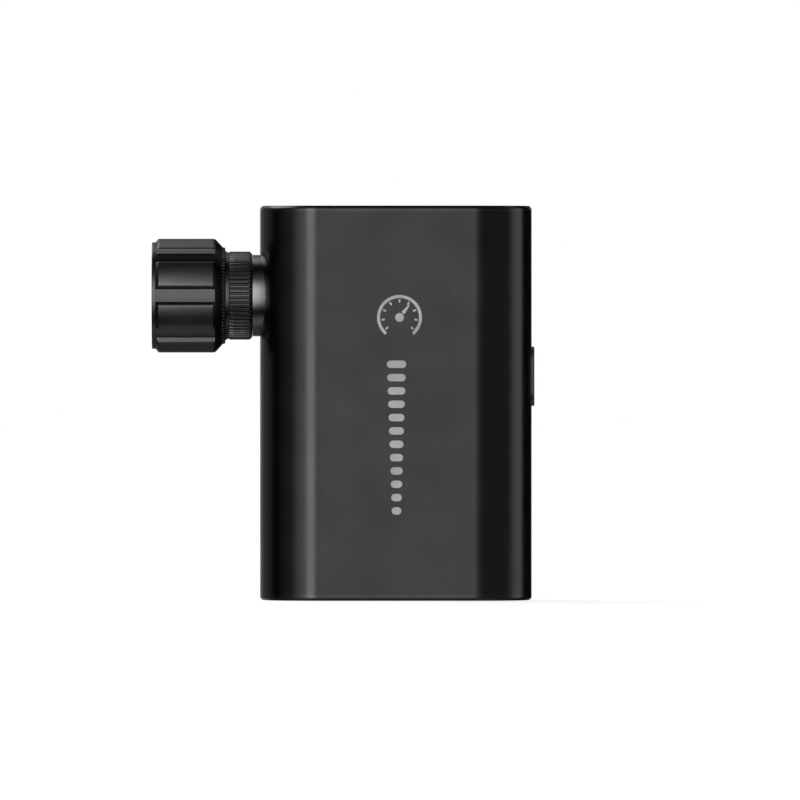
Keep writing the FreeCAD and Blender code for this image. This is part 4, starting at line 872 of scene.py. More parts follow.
@dataclass(frozen=True)
class BoardFinish(Finish):
    """Circuit board under solder mask: copper tracks that show as lighter, raised lines."""

    tracks: float = 1100.0
    copper: Colour = (0.05, 0.21, 0.09)
    rise: float = 0.03 * MM

    def extra(self, graph: Graph, where: bpy.types.NodeSocket, looks: Looks) -> Looks:
        """Adds tracks on square steps: thin bands of a wave bent by blocky cells.

        Args:
            graph: the material's graph.
            where: the object's coordinates.
            looks: the looks so far.

        Returns:
            The looks with what it adds.
        """
        inputs = {"Vector": where, "Scale": self.tracks * 0.4, "Randomness": 0.3}
        cell = graph.node("ShaderNodeTexVoronoi", inputs, distance="MANHATTAN").outputs[0]
        band = graph.maths("PINGPONG", graph.times(cell, 3.0), 1.0)
        mask = graph.spread(band, 0.72, 0.8, 0.0, 1.0)
        colour = graph.blend(graph.times(mask, 0.6), looks.colour, self.copper)
        height = graph.plus(looks.height, graph.times(mask, self.rise))
        return Looks(colour, looks.gloss, height)


@dataclass(frozen=True)
class WindingFinish(Finish):
    """Enamelled copper wire laid side by side, with painted shade between the turns."""

    wires: float = 3600.0
    # share of the colour left between the wires by the painted shade
    shade: float = 0.25
    rise: float = 0.08 * MM

    def extra(self, graph: Graph, where: bpy.types.NodeSocket, looks: Looks) -> Looks:
        """Adds round wires: the absolute sine of the height above the base, with painted shade where
        neighbouring wires meet.

        Args:
            graph: the material's graph.
            where: the object's coordinates.
            looks: the looks so far.

        Returns:
            The looks with what it adds.
        """
        up = graph.node("ShaderNodeSeparateXYZ", {0: where}).outputs[2]
        turns = graph.times(up, self.wires * math.pi)
        wave = graph.maths("ABSOLUTE", graph.maths("SINE", turns))
        # painted shade: the colour darkens where neighbouring wires meet
        gaps = graph.spread(wave, 0.0, 0.5, 0.7, 0.0)
        colour = graph.blend(gaps, looks.colour, tuple(self.shade * c for c in self.colour))
        height = graph.plus(looks.height, graph.times(wave, self.rise))
        return Looks(colour, looks.gloss, height)


ALONG_Z: Vector = (2600.0, 2600.0, 26.0)
ROUND_CHUCK: Vector = (5200.0, 60.0, 60.0)
ROUND_Z: Vector = (60.0, 60.0, 5200.0)

FINISHES: tuple[Finish, ...] = (
    Finish(
        "anodised_body", grey(0.061), grey(0.066), 0.19, metallic=1.0, spread=0.03,
        grain=6500.0, depth=0.0008 * MM, lines=ALONG_Z, line_depth=0.0008 * MM,
        worn=grey(0.13), wear=0.5, smudge=0.03,
    ),
    Finish(
        "anodised_caps", grey(0.058), grey(0.064), 0.22, metallic=1.0, spread=0.03,
        grain=6500.0, depth=0.0012 * MM, worn=grey(0.12), wear=0.5, smudge=0.03, dust=0.12,
    ),
    Finish(
        "anodised_chuck", grey(0.105), grey(0.118), 0.22, metallic=1.0, spread=0.04,
        grain=5200.0, depth=0.0004 * MM, lines=ROUND_CHUCK, line_depth=0.0003 * MM,
        worn=grey(0.20), wear=0.20, smudge=0.03,
    ),
    Finish(
        "neck_metal", grey(0.222), grey(0.202), 0.18, metallic=1.0, spread=0.04,
        depth=0.0006 * MM, lines=ROUND_CHUCK, line_depth=0.0008 * MM,
    ),
    Finish(
        "anodised_grip", grey(0.120), grey(0.132), 0.26, metallic=1.0, spread=0.04,
        grain=6000.0, depth=0.001 * MM, lines=(140.0, 2400.0, 2400.0), line_depth=0.0006 * MM,
        worn=grey(0.19), wear=0.35, smudge=0.04, dust=0.1,
    ),
    Finish("button_grey", (0.16, 0.162, 0.168), (0.145, 0.147, 0.152), 0.32, metallic=0.85, grain=6000.0,
           depth=0.002 * MM, smudge=0.08),
    Finish("print_silver", grey(0.52), (0.46, 0.46, 0.465), 0.42, metallic=1.0, grain=9000.0,
           depth=0.002 * MM),
    Finish("seal_rubber", (0.018, 0.018, 0.019), (0.026, 0.026, 0.027), 0.55, grain=3600.0, depth=0.01 * MM),
    Finish("seal_white", (0.66, 0.65, 0.62), (0.58, 0.57, 0.54), 0.45, grain=3000.0, depth=0.006 * MM),
    Finish("screw_steel", (0.19, 0.19, 0.20), (0.15, 0.15, 0.16), 0.28, metallic=1.0, grain=7000.0,
           depth=0.002 * MM, lines=(900.0, 900.0, 900.0), line_depth=0.002 * MM),
    Finish("brass", (0.72, 0.52, 0.22), (0.62, 0.43, 0.17), 0.26, metallic=1.0, depth=0.002 * MM,
           lines=ROUND_CHUCK, line_depth=0.002 * MM),
    Finish("steel", (0.56, 0.56, 0.57), (0.48, 0.48, 0.49), 0.30, metallic=1.0, depth=0.002 * MM,
           lines=ROUND_Z, line_depth=0.002 * MM),
    Finish("cylinder_metal", (0.62, 0.62, 0.61), (0.52, 0.52, 0.51), 0.36, metallic=1.0, depth=0.004 * MM,
           lines=ROUND_CHUCK, line_depth=0.003 * MM),
    Finish("frame_metal", (0.50, 0.50, 0.49), (0.42, 0.42, 0.41), 0.48, metallic=1.0, grain=2600.0,
           depth=0.02 * MM),
    Finish("bearing_steel", (0.66, 0.66, 0.67), (0.60, 0.60, 0.61), 0.14, metallic=1.0, depth=0.001 * MM),
    Finish("piston_plastic", (0.035, 0.035, 0.036), (0.045, 0.045, 0.046), 0.42, grain=2800.0,
           depth=0.008 * MM),
    Finish("gear_plastic", (0.70, 0.68, 0.60), (0.62, 0.60, 0.52), 0.38, grain=2600.0, depth=0.006 * MM),
    Finish("bell_plastic", (0.03, 0.03, 0.032), (0.04, 0.04, 0.042), 0.45, grain=2800.0, depth=0.010 * MM),
    Finish("tray_plastic", (0.05, 0.05, 0.052), (0.06, 0.06, 0.062), 0.50, grain=2400.0, depth=0.012 * MM),
    Finish("magnet", (0.09, 0.088, 0.085), (0.12, 0.118, 0.112), 0.55, metallic=0.6, grain=2200.0,
           depth=0.015 * MM),
    WindingFinish("copper", (0.72, 0.32, 0.16), (0.62, 0.26, 0.12), 0.28, metallic=1.0, depth=0.002 * MM),
    FoamFinish("foam", (0.045, 0.045, 0.047), (0.055, 0.055, 0.057), 0.9, grain=1800.0, depth=0.03 * MM),
    FoilFinish("pouch_foil", (0.55, 0.56, 0.57), (0.50, 0.51, 0.52), 0.33, metallic=0.85, depth=0.004 * MM),
    Finish("wire_red", (0.50, 0.025, 0.02), (0.42, 0.02, 0.016), 0.40, grain=2400.0, depth=0.006 * MM),
    Finish("wire_black", (0.02, 0.02, 0.021), (0.03, 0.03, 0.031), 0.40, grain=2400.0, depth=0.006 * MM),
    BoardFinish("board_green", (0.012, 0.085, 0.035), (0.010, 0.075, 0.030), 0.30, depth=0.003 * MM),
    Finish("chip_black", (0.02, 0.02, 0.021), (0.026, 0.026, 0.027), 0.48, grain=5200.0, depth=0.006 * MM),
    Finish("socket_steel", (0.50, 0.50, 0.51), (0.44, 0.44, 0.45), 0.22, metallic=1.0, depth=0.002 * MM,
           lines=(300.0, 4200.0, 300.0), line_depth=0.001 * MM),
    Finish("led_clear", (0.82, 0.86, 0.88), (0.78, 0.82, 0.84), 0.16, grain=2600.0, depth=0.003 * MM,
           transmission=0.85, ior=1.49),
)


class FinishShelf:
    """Every finish, built once and handed out by its name."""

    def __init__(self) -> None:
        """Builds the groups and then the materials."""
        effects = Effects()
        self.made = {finish.name: finish.build(effects) for finish in FINISHES}

    def __getitem__(self, name: str) -> bpy.types.Material:
        """The material of that name."""
        return self.made[name]

    def dress_packed(self, slots: dict[str, str]) -> None:
        """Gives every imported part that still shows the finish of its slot.

        Args:
            slots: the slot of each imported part.
        """
        for name, part in frame["nodes"].items():
            if part.hide_render:
                continue
            for slot in part.material_slots:
                slot.material = self.made[slots[name]]
            log.info("%s: packed part in %s", name, slots[name])


# ---------------------------------------------------------------- housing
@dataclass(frozen=True)
class HousingPlan:
    """The housing's plan: flat front and back, joined by sides of a corner, a wide arc and a corner.

    With bulge w, half depth h and corner radius c the wide arc's radius is
    (w^2 + h^2 - 2hc) / (2(w - c)), which makes it tangent to both corners.
    """

    half_width: float = 22.4 * MM
    half_depth: float = 14.0 * MM
    bulge: float = 9.4 * MM
    corner: float = 8.5 * MM
    corner_steps: int = 40
    side_steps: int = 14
    flat_steps: int = 8

    @property
    def flat(self) -> float:
        """Half width of the flat front."""
        return self.half_width - self.bulge

    @property
    def side_radius(self) -> float:
        """Radius of the wide arc."""
        rise = self.bulge**2 + self.half_depth**2 - 2 * self.half_depth * self.corner
        return rise / (2 * (self.bulge - self.corner))

    @property
    def meet(self) -> float:
        """Angle from X at which the wide arc runs into a corner."""
        return math.atan2(self.half_depth - self.corner, self.flat - self.half_width + self.side_radius)

    def loop(self) -> Loop:
        """The whole outline, mirrored from one quarter and counted round from +X.

        Returns:
            The outline as arcs with their centres.
        """
        side = np.linspace(0.0, self.meet, self.side_steps, endpoint=False)
        corner = np.linspace(self.meet, RIGHT_ANGLE, self.corner_steps + 1)
        angle = np.concatenate([side, corner])
        wide = np.arange(len(angle)) < len(side)
        centre_x = np.where(wide, self.half_width - self.side_radius, self.flat)
        centre_y = np.where(wide, 0.0, self.half_depth - self.corner)
        radius = np.where(wide, self.side_radius, self.corner)
        quarter = np.stack([centre_x, centre_y, radius, angle], axis=1)
        face_x = np.linspace(self.flat, -self.flat, self.flat_steps + 1)[1:-1]
        face = np.tile([0.0, self.half_depth - self.corner, self.corner, RIGHT_ANGLE], (len(face_x), 1))
        face[:, 0] = face_x
        left = quarter[::-1] * [-1, 1, 1, -1] + [0, 0, 0, math.pi]
        half = np.concatenate([quarter, face, left])
        other = half[1:-1][::-1] * [1, -1, 1, -1]
        whole = np.concatenate([half, other])
        return Loop(whole[:, :2], whole[:, 2], whole[:, 3])

    def from_middle(self, points: Array) -> tuple[Array, Array]:
        """Each point's place from the middle of the outline's nearest stretch.

        All is taken in the first quarter. The middle is the arc's centre on a corner or a
        side, and the nearest point of the X axis on a flat.

        Args:
            points: places shaped (n, 3).

        Returns:
            Plan vectors shaped (n, 2), and the outline's own distance from each middle.
        """
        across = np.abs(points[:, 0])
        deep = np.abs(points[:, 1])
        from_corner = np.stack([across - self.flat, deep - (self.half_depth - self.corner)], axis=1)
        from_side = np.stack([across - (self.half_width - self.side_radius), deep], axis=1)
        on_corner = np.arctan2(from_corner[:, 1], from_corner[:, 0]) > self.meet
        on_flat = across <= self.flat
        way = np.where(on_corner[:, None], from_corner, from_side)
        way = np.where(on_flat[:, None], np.stack([np.zeros_like(deep), deep], axis=1), way)
        radius = np.where(on_corner, self.corner, self.side_radius)
        return way, np.where(on_flat, self.half_depth, radius)

    def facing(self, points: Array) -> Array:
        """Outward direction of the outline nearest each point.

        It is Y on the flats, and elsewhere runs from the corner's or the wide arc's centre.

        Args:
            points: places shaped (n, 3).

        Returns:
            Unit directions shaped (n, 3).
        """
        way, _ = self.from_middle(points)
        plan = way / np.maximum(np.linalg.norm(way, axis=1), TINY)[:, None]
        signs = np.where(points[:, :2] < 0, -1.0, 1.0)
        return np.column_stack([plan * signs, np.zeros(len(points))])

    def inset(self, points: Array) -> Array:
        """How far each point lies inside the outline, seen in plan."""
        way, radius = self.from_middle(points)
        return radius - np.linalg.norm(way, axis=1)


def about_chuck(points: Array) -> Array:
    """Directions away from the chuck's axis."""
    away = points * [0.0, 1.0, 1.0] - [0.0, 0.0, NOZZLE_Z]
    return away / np.maximum(np.linalg.norm(away, axis=1), TINY)[:, None]


@dataclass
class Housing:
    """The extruded housing, its two end caps and what is cut into them."""

    plan: HousingPlan = field(default_factory=HousingPlan)
    height: float = 65.0 * MM
    wall: float = 1.3 * MM
    seam: float = 0.05 * MM
    rim: float = 0.5 * MM
    plug: float = 1.5 * MM
    plug_inset: float = 1.45 * MM
    rim_edge: float = 0.4 * MM
    edge_break: float = 0.03 * MM
    bands: tuple[float, float] = (0.5 * MM, 1.4 * MM)
    worn_band: float = 1.2 * MM
    worn_inset: float = 1.0 * MM
    past: float = 1.0 * MM
    post_x: float = 15.893 * MM
    post_y: float = 10.51 * MM
    post_radius: float = 1.6 * MM
    pilot_radius: float = 0.88 * MM
    head_radius: float = 1.63 * MM
    head_depth: float = 0.85 * MM
    neck_hole: float = 6.8 * MM
    slot: Stadium = field(default_factory=lambda: Stadium(10.04 * MM, 4.44 * MM))
    slot_z: float = 36.9 * MM
    charging: Stadium = field(default_factory=lambda: Stadium(9.10 * MM, 3.42 * MM))
    charging_x: float = 15.37 * MM
    charging_flare: float = 0.06 * MM
    light: Stadium = field(default_factory=lambda: Stadium(1.86 * MM, 1.86 * MM))
    light_x: float = 15.9 * MM
    light_y: float = 6.5 * MM
    light_flare: float = 0.02 * MM
    vent: Stadium = field(default_factory=lambda: Stadium(9.0 * MM, 1.0 * MM, 12))
    vent_x: float = -5.0 * MM
    vent_pitch: float = 2.4 * MM
    vent_flare: float = 0.1 * MM
    vents: int = 5

    def at_screws(self, radius: float, rows: Array, steps: int) -> Surface:
        """Four upright round bars at the screws' places.

        Args:
            radius: radius of each bar where its inset is 0.
            rows: (inset, z) rows of each bar.
            steps: pieces in each half circle.

        Returns:
            The four bars as one surface.
        """
        bar = Stadium(2 * radius, 2 * radius, steps)
        places = [(sx * self.post_x, sy * self.post_y) for sx in (-1, 1) for sy in (-1, 1)]
        return joined(bar.along_z(rows, x, y) for x, y in places)

    def about_posts(self, points: Array) -> Array:
        """Directions away from the nearest screw's axis.

        Args:
            points: places shaped (n, 3).

        Returns:
            Unit directions shaped (n, 3).
        """
        away = np.abs(points[:, :2]) - [self.post_x, self.post_y]
        away = away * np.where(points[:, :2] < 0, -1.0, 1.0)
        size = np.maximum(np.linalg.norm(away, axis=1), TINY)[:, None]
        return np.column_stack([away / size, np.zeros(len(points))])

    def about_slot(self, points: Array) -> Array:
        """Directions away from the button slot's middle line.

        Args:
            points: places shaped (n, 3).

        Returns:
            Unit directions shaped (n, 3).
        """
        half = (self.slot.long - self.slot.wide) / 2
        up = points[:, 2] - self.slot_z
        past = np.sign(up) * np.maximum(np.abs(up) - half, 0.0)
        away = np.column_stack([np.zeros(len(points)), points[:, 1], past])
        return away / np.maximum(np.linalg.norm(away, axis=1), TINY)[:, None]

    def shell(self) -> bpy.types.Object:
        """The wall: a closed ring of (inset, z) rows, with posts, neck hole and button slot.

        Returns:
            The finished wall.
        """
        low = self.rim + self.seam
        high = self.height - low
        near, far = self.bands
        c = self.edge_break
        profile = rounded_profile(
            [
                (0.0, low, c),
                (0.0, low + near, 0.0),
                (0.0, low + far, 0.0),
                (0.0, high - far, 0.0),
                (0.0, high - near, 0.0),
                (0.0, high, c),
                (self.wall, high, c),
                (self.wall, low, c),
            ],
            4,
            closed=True,
        )
        surface = grid_surface(self.plan.loop().carried(profile), True)
        piece = Pieces.new("housing_wall", surface.mesh("housing_wall"))
        floor = self.rim + self.plug + self.seam
        ends = np.array([[0.0, floor], [0.0, self.height - floor]])
        Pieces.carve(piece, self.at_screws(self.post_radius, ends, 20), Carving.ADD)
        outer = self.plan.half_width + self.past
        inner = self.plan.half_width - 2 * self.wall
        hole = rings(np.array([-outer, -inner]), np.full(2, self.neck_hole), even_angles(128))
        across = np.array([[0.0, inner], [0.0, outer]])
        slot = grid_surface(self.slot.along_x(across, self.slot_z), tube=False)
        pilots = self.at_screws(self.pilot_radius, ends + [[0.0, -self.past], [0.0, self.past]], 20)
        Pieces.carve(piece, joined([grid_surface(hole, False), slot, pilots]), Carving.CUT)
        Pieces.set_wear(piece, self.wall_wear)
        Pieces.level(piece, [self.plan.facing, about_chuck, self.about_slot, self.about_posts])
        return piece

    def wall_wear(self, points: Array) -> Array:
        """Wear on the wall's outside: the cube of the nearness to either end.

        Args:
            points: places shaped (n, 3).

        Returns:
            Shares shaped (n,).
        """
        low = self.rim + self.seam
        z = points[:, 2]
        inside = np.minimum(z - low, self.height - low - z) - self.edge_break
        near = np.clip(1 - inside / self.worn_band, 0.0, 1.0) ** 3
        return np.where(self.plan.inset(points) < self.wall / 2, near, 0.0)

    def cap_wear(self, points: Array) -> Array:
        """Wear on a cap: a narrow bell along the inner end of its rim's chamfer.

        Args:
            points: places shaped (n, 3).

        Returns:
            Shares shaped (n,).
        """
        rise = np.minimum(points[:, 2], self.height - points[:, 2])
        bell = np.exp(-(((rise - self.rim_edge) / (0.25 * self.rim_edge)) ** 2))
        return np.where(self.plan.inset(points) < self.worn_inset, bell, 0.0)

    def cap_body(self, outer: float, inward: int) -> Surface:
        """A cap's rim and plug, from (inset, z) rows between its outer and its inner face.

        Args:
            outer: height of the cap's outer face.
            inward: 1 for the lower cap, -1 for the upper one.

        Returns:
            The closed surface.
        """
        r = self.rim_edge
        profile = rounded_profile(
            [
                (4.0 * MM, 0.0, 0.0),
                (1.2 * MM, 0.0, 0.0),
                (r, 0.0, 0.05 * MM),
                (0.0, r, 0.03 * MM),
                (0.0, self.rim, 0.02 * MM),
                (self.plug_inset, self.rim, 0.0),
                (self.plug_inset, self.rim + self.plug, 0.0),
            ],
            4,
            closed=False,
        )
        profile[:, 1] = outer + inward * profile[:, 1]
        return grid_surface(self.plan.loop().carried(profile), False)

    def seats(self, outer: float, inward: int) -> Surface:
        """Countersunk screw holes through a cap.

        Args:
            outer: height of the cap's outer face.
            inward: 1 for the lower cap, -1 for the upper one.

        Returns:
            The four tools as one surface.
        """
        step = self.head_radius - self.pilot_radius
        end = self.rim + self.plug + self.past
        rows = np.array([[0.0, -self.past], [0.0, 0.0], [step, self.head_depth], [step, end]])
        rows[:, 1] = outer + inward * rows[:, 1]
        return self.at_screws(self.head_radius, rows, 24)

    def opening(self, shape: Stadium, x: float, y: float, flare: float) -> Surface:
        """A tool for one opening of the upper cap, flared by a small chamfer at its mouth.

        Args:
            shape: the opening's outline.
            x: its middle in X.
            y: its middle in Y.
            flare: size of its chamfer.

        Returns:
            The tool's surface.
        """
        top = self.height
        low = top - self.rim - self.plug - self.past
        rows = np.array([[0.0, low], [0.0, top - flare], [-flare, top], [-flare, top + self.past]])
        return shape.along_z(rows, x, y)

    def upper_cap(self) -> bpy.types.Object:
        """The upper cap with its charging port, light, vents and screw seats.

        Returns:
            The finished cap.
        """
        piece = Pieces.new("upper_cap", self.cap_body(self.height, -1).mesh("upper_cap"))
        middle = (self.vents - 1) / 2
        tools = [
            self.seats(self.height, -1),
            self.opening(self.charging, self.charging_x, 0.0, self.charging_flare),
            self.opening(self.light, self.light_x, self.light_y, self.light_flare),
        ]
        for i in range(self.vents):
            x = self.vent_x + (i - middle) * self.vent_pitch
            tools.append(self.opening(self.vent, x, 0.0, self.vent_flare))
        Pieces.carve(piece, joined(tools), Carving.CUT)
        self.shade_cap(piece)
        return piece

    def lower_cap(self) -> bpy.types.Object:
        """The lower cap, plain but for its screw seats.

        Returns:
            The finished cap.
        """
        piece = Pieces.new("lower_cap", self.cap_body(0.0, 1).mesh("lower_cap"))
        Pieces.carve(piece, self.seats(0.0, 1), Carving.CUT)
        self.shade_cap(piece)
        return piece

    def shade_cap(self, piece: bpy.types.Object) -> None:
        """Sets a cap's wear, and smooth shading that keeps the broad flat faces level.

        Args:
            piece: the cap.
        """
        Pieces.set_wear(piece, self.cap_wear)
        Pieces.crease(piece, 32.0)
        Pieces.even_out(piece)
        Pieces.flatten(piece)

    def build(self, shelf: FinishShelf) -> None:
        """Makes the housing's three pieces and puts them in place.

        Args:
            shelf: the finishes.
        """
        Pieces.place(self.shell(), "housing", "anodised_body", shelf["anodised_body"], ["housing_shell"])
        Pieces.place(self.upper_cap(), "housing", "anodised_caps", shelf["anodised_caps"], ["top_cap"])
        Pieces.place(self.lower_cap(), "housing", "anodised_caps", shelf["anodised_caps"], ["bottom_cap"])


# ---------------------------------------------------------------- chuck
@dataclass(frozen=True)
class Teeth:
    """Straight-sided teeth round a cap.

    With u the distance from a tooth's middle in pitches, the height is
    clip((foot - u) / (foot - crest), 0, 1), averaged over a narrow window to round it.
    """

    count: int
    top: float
    depth: float
    crest_share: float
    window: float = 0.05

    def height(self, angles: Array) -> Array:
        """A tooth's height as a share of its depth, at each angle.

        Args:
            angles: angles in radians.

        Returns:
            Shares between 0 and 1.
        """
        crest = self.crest_share / 2
        foot = 0.5 - self.crest_share / 4
        turns = angles * self.count / TURN
        total = np.zeros_like(angles)
        for shift in (-self.window, -self.window / 2, 0.0, self.window / 2, self.window):
            u = np.abs((turns + shift + 0.5) % 1.0 - 0.5)
            total += np.clip((foot - u) / (foot - crest), 0.0, 1.0)
        return total / 5

    def radius(self, angles: Array) -> Array:
        """The teeth's radius at each angle."""
        return self.top - self.depth * (1 - self.height(angles))

    def columns(self) -> Array:
        """The angles at which a tooth bends.

        Returns:
            Angles within one turn.
        """
        crest = self.crest_share / 2
        foot = 0.5 - self.crest_share / 4
        w = self.window
        bends = np.array([crest - w, crest, crest + w, foot - w, foot, foot + w])
        turns = np.arange(self.count)[:, None] + np.concatenate([-bends[::-1], bends])[None]
        return (turns.reshape(-1) * TURN / self.count) % TURN


@dataclass
class Chuck:
    """The neck, the screw-on cap with its knurl and serration, and the ribbed grip."""

    neck_radius: float = 6.72 * MM
    head_face: float = -19.6 * MM
    stub_radius: float = 3.4 * MM
    stub_length: float = 1.15 * MM
    neck_end: float = -23.65 * MM
    spigot_radius: float = 5.35 * MM
    spigot_end: float = -30.68 * MM
    pitch: float = 1.0 * MM
    thread_depth: float = 0.3 * MM
    thread_gap: float = 0.3 * MM
    thread_turns: float = 6.4
    small_edge: float = 0.08 * MM
    passage: float = 1.0 * MM
    chamber_radius: float = 2.6 * MM
    chamber_length: float = 3.4 * MM
    recess_radius: float = 2.5 * MM
    recess_length: float = 0.4 * MM
    track: tuple[float, float, float] = (4.45 * MM, 5.35 * MM, 0.72 * MM)
    rear: float = -23.70 * MM
    knurl: Teeth = Teeth(60, 7.27 * MM, 0.33 * MM, 0.40, 0.035)
    knurl_end: float = -27.50 * MM
    rear_chamfer: float = 0.42 * MM
    front_chamfer: float = 0.14 * MM
    groove_radius: float = 7.15 * MM
    groove_end: float = -27.82 * MM
    shoulder_radius: float = 7.31 * MM
    shoulder_end: float = -28.14 * MM
    serration: Teeth = Teeth(80, 8.03 * MM, 0.16 * MM, 0.5)
    serration_rear: float = 7.89 * MM
    serration_end: float = -28.66 * MM
    barrel_radius: float = 7.0 * MM
    front: float = -39.63 * MM
    lip_chamfer: float = 0.3 * MM
    edge_size: float = 0.04 * MM
    worn_depth: float = 0.2 * MM
    shoulder_wear: float = 0.6
    lip_radius: float = 4.5 * MM
    lip_back: float = -38.53 * MM
    bore: float = 5.45 * MM

    def neck(self) -> bpy.types.Object:
        """The neck with a real screw thread.

        On the spigot the radius is root + depth * fade(x) * tri(x / pitch - a / 2pi), where
        tri rises and falls once a turn and fade brings the thread in and out.

        Returns:
            The finished neck.
        """
        root = self.spigot_radius - self.thread_depth
        inner, outer, deep = self.track
        stub = self.head_face + self.stub_length
        start = self.neck_end - self.thread_gap
        stop = start - self.thread_turns * self.pitch
        small = self.small_edge
        head = rounded_profile(
            [
                (stub, self.chamber_radius, 0.0),
                (stub, self.stub_radius, small),
                (self.head_face, self.stub_radius, small),
                (self.head_face, inner, small),
                (self.head_face - deep, inner, small),
                (self.head_face - deep, outer, small),
                (self.head_face, outer, small),
                (self.head_face, self.neck_radius, small),
                (self.neck_end, self.neck_radius, small),
                (self.neck_end, root, 0.0),
            ],
            3,
            closed=False,
        )
        thread_x = np.linspace(start, stop, 97)
        tail = np.array(
            [
                (self.spigot_end + small, root),
                (self.spigot_end, root - small),
                (self.spigot_end, self.recess_radius),
                (self.spigot_end + self.recess_length, self.recess_radius),
                (self.spigot_end + self.recess_length, self.passage),
                (self.head_face - self.chamber_length, self.passage),
                (self.head_face - self.chamber_length, self.chamber_radius),
            ]
        )
        angles = even_angles(144)
        x = np.concatenate([head[:, 0], thread_x, tail[:, 0]])
        radius = np.concatenate([head[:, 1], np.full(len(thread_x), root), tail[:, 1]])
        radius = np.repeat(radius[:, None], len(angles), axis=1)
        phase = (thread_x[:, None] / self.pitch - angles[None] / TURN) % 1.0
        ridge = np.clip(1.15 - 2.6 * np.abs(phase - 0.5), 0.0, 1.0)
        from_end = np.minimum(start - thread_x, thread_x - stop)
        fade = np.clip(from_end / (0.5 * self.pitch), 0.0, 1.0)
        first = len(head)
        radius[first : first + len(thread_x)] += self.thread_depth * ridge * fade[:, None]
        surface = grid_surface(rings(x, radius, angles), True)
        piece = Pieces.new("threaded_neck", surface.mesh("threaded_neck"))
        Pieces.crease(piece, 40.0)
        return piece

    def cap(self) -> bpy.types.Object:
        """The cap: rows of (x, radius), cut by the knurl's or the serration's teeth where they run.

        Returns:
            The finished cap.
        """
        small = self.edge_size
        top = self.knurl.top
        back = self.rear_chamfer
        straight = np.linspace(self.rear - back, self.knurl_end + self.front_chamfer, 5)
        knurl_rows = [(self.rear - c * back, top - (1 - c) * back) for c in np.linspace(0.0, 1.0, 7)[:-1]]
        knurl_rows += [(x, top) for x in straight]
        knurl_rows += [(self.knurl_end, top - self.front_chamfer)]
        ring_rows = [
            (self.knurl_end, self.groove_radius - 0.001 * MM),
            (self.groove_end, self.groove_radius),
            (self.groove_end, self.shoulder_radius - small),
            (self.groove_end - small, self.shoulder_radius),
            (self.shoulder_end + small, self.shoulder_radius),
            (self.shoulder_end, self.shoulder_radius - small / 2),
        ]
        fine_rows = [
            (self.shoulder_end, self.serration_rear - small),
            (self.shoulder_end - small, self.serration_rear),
            (self.serration_end + small, self.serration.top),
            (self.serration_end, self.serration.top - small),
        ]
        inner_rows = [
            (self.serration_end, self.barrel_radius),
            (self.front + self.lip_chamfer, self.barrel_radius),
            (self.front, self.barrel_radius - self.lip_chamfer),
            (self.front, self.lip_radius + self.lip_chamfer),
            (self.front + self.lip_chamfer, self.lip_radius),
            (self.lip_back, self.lip_radius),
            (self.lip_back, self.bore),
            (self.rear, self.bore),
        ]
        rows = np.array(knurl_rows + ring_rows + fine_rows + inner_rows)
        angles = np.unique(np.round(np.concatenate([self.knurl.columns(), self.serration.columns()]), 6))
        radius = np.repeat(rows[:, 1:], len(angles), axis=1)
        knurled = slice(0, len(knurl_rows))
        first = len(knurl_rows) + len(ring_rows)
        serrated = slice(first, first + len(fine_rows))
        radius[knurled] = np.minimum(radius[knurled], self.knurl.radius(angles)[None])
        radius[serrated] = np.minimum(radius[serrated], self.serration.radius(angles)[None])
        edge = np.zeros_like(radius)
        edge[knurled] = self.knurl.height(angles)[None] ** 2 * (radius[knurled] > top - self.worn_depth)
        edge[serrated] = self.serration.height(angles)[None] ** 2
        edge[len(knurl_rows) + 3] = self.shoulder_wear
        surface = grid_surface(rings(rows[:, 0], radius, angles), True, edge)
        piece = Pieces.new("chuck_shell", surface.mesh("chuck_shell"))
        Pieces.crease(piece, 38.0)
        Pieces.even_out(piece)
        return piece

    def build(self, shelf: FinishShelf) -> None:
        """Makes the neck and the cap and puts them in place.

        Args:
            shelf: the finishes.
        """
        Pieces.place(self.neck(), "housing", "neck_metal", shelf["neck_metal"], ["outlet_neck"])
        Pieces.place(self.cap(), "cap", "anodised_chuck", shelf["anodised_chuck"], ["chuck_cap"])


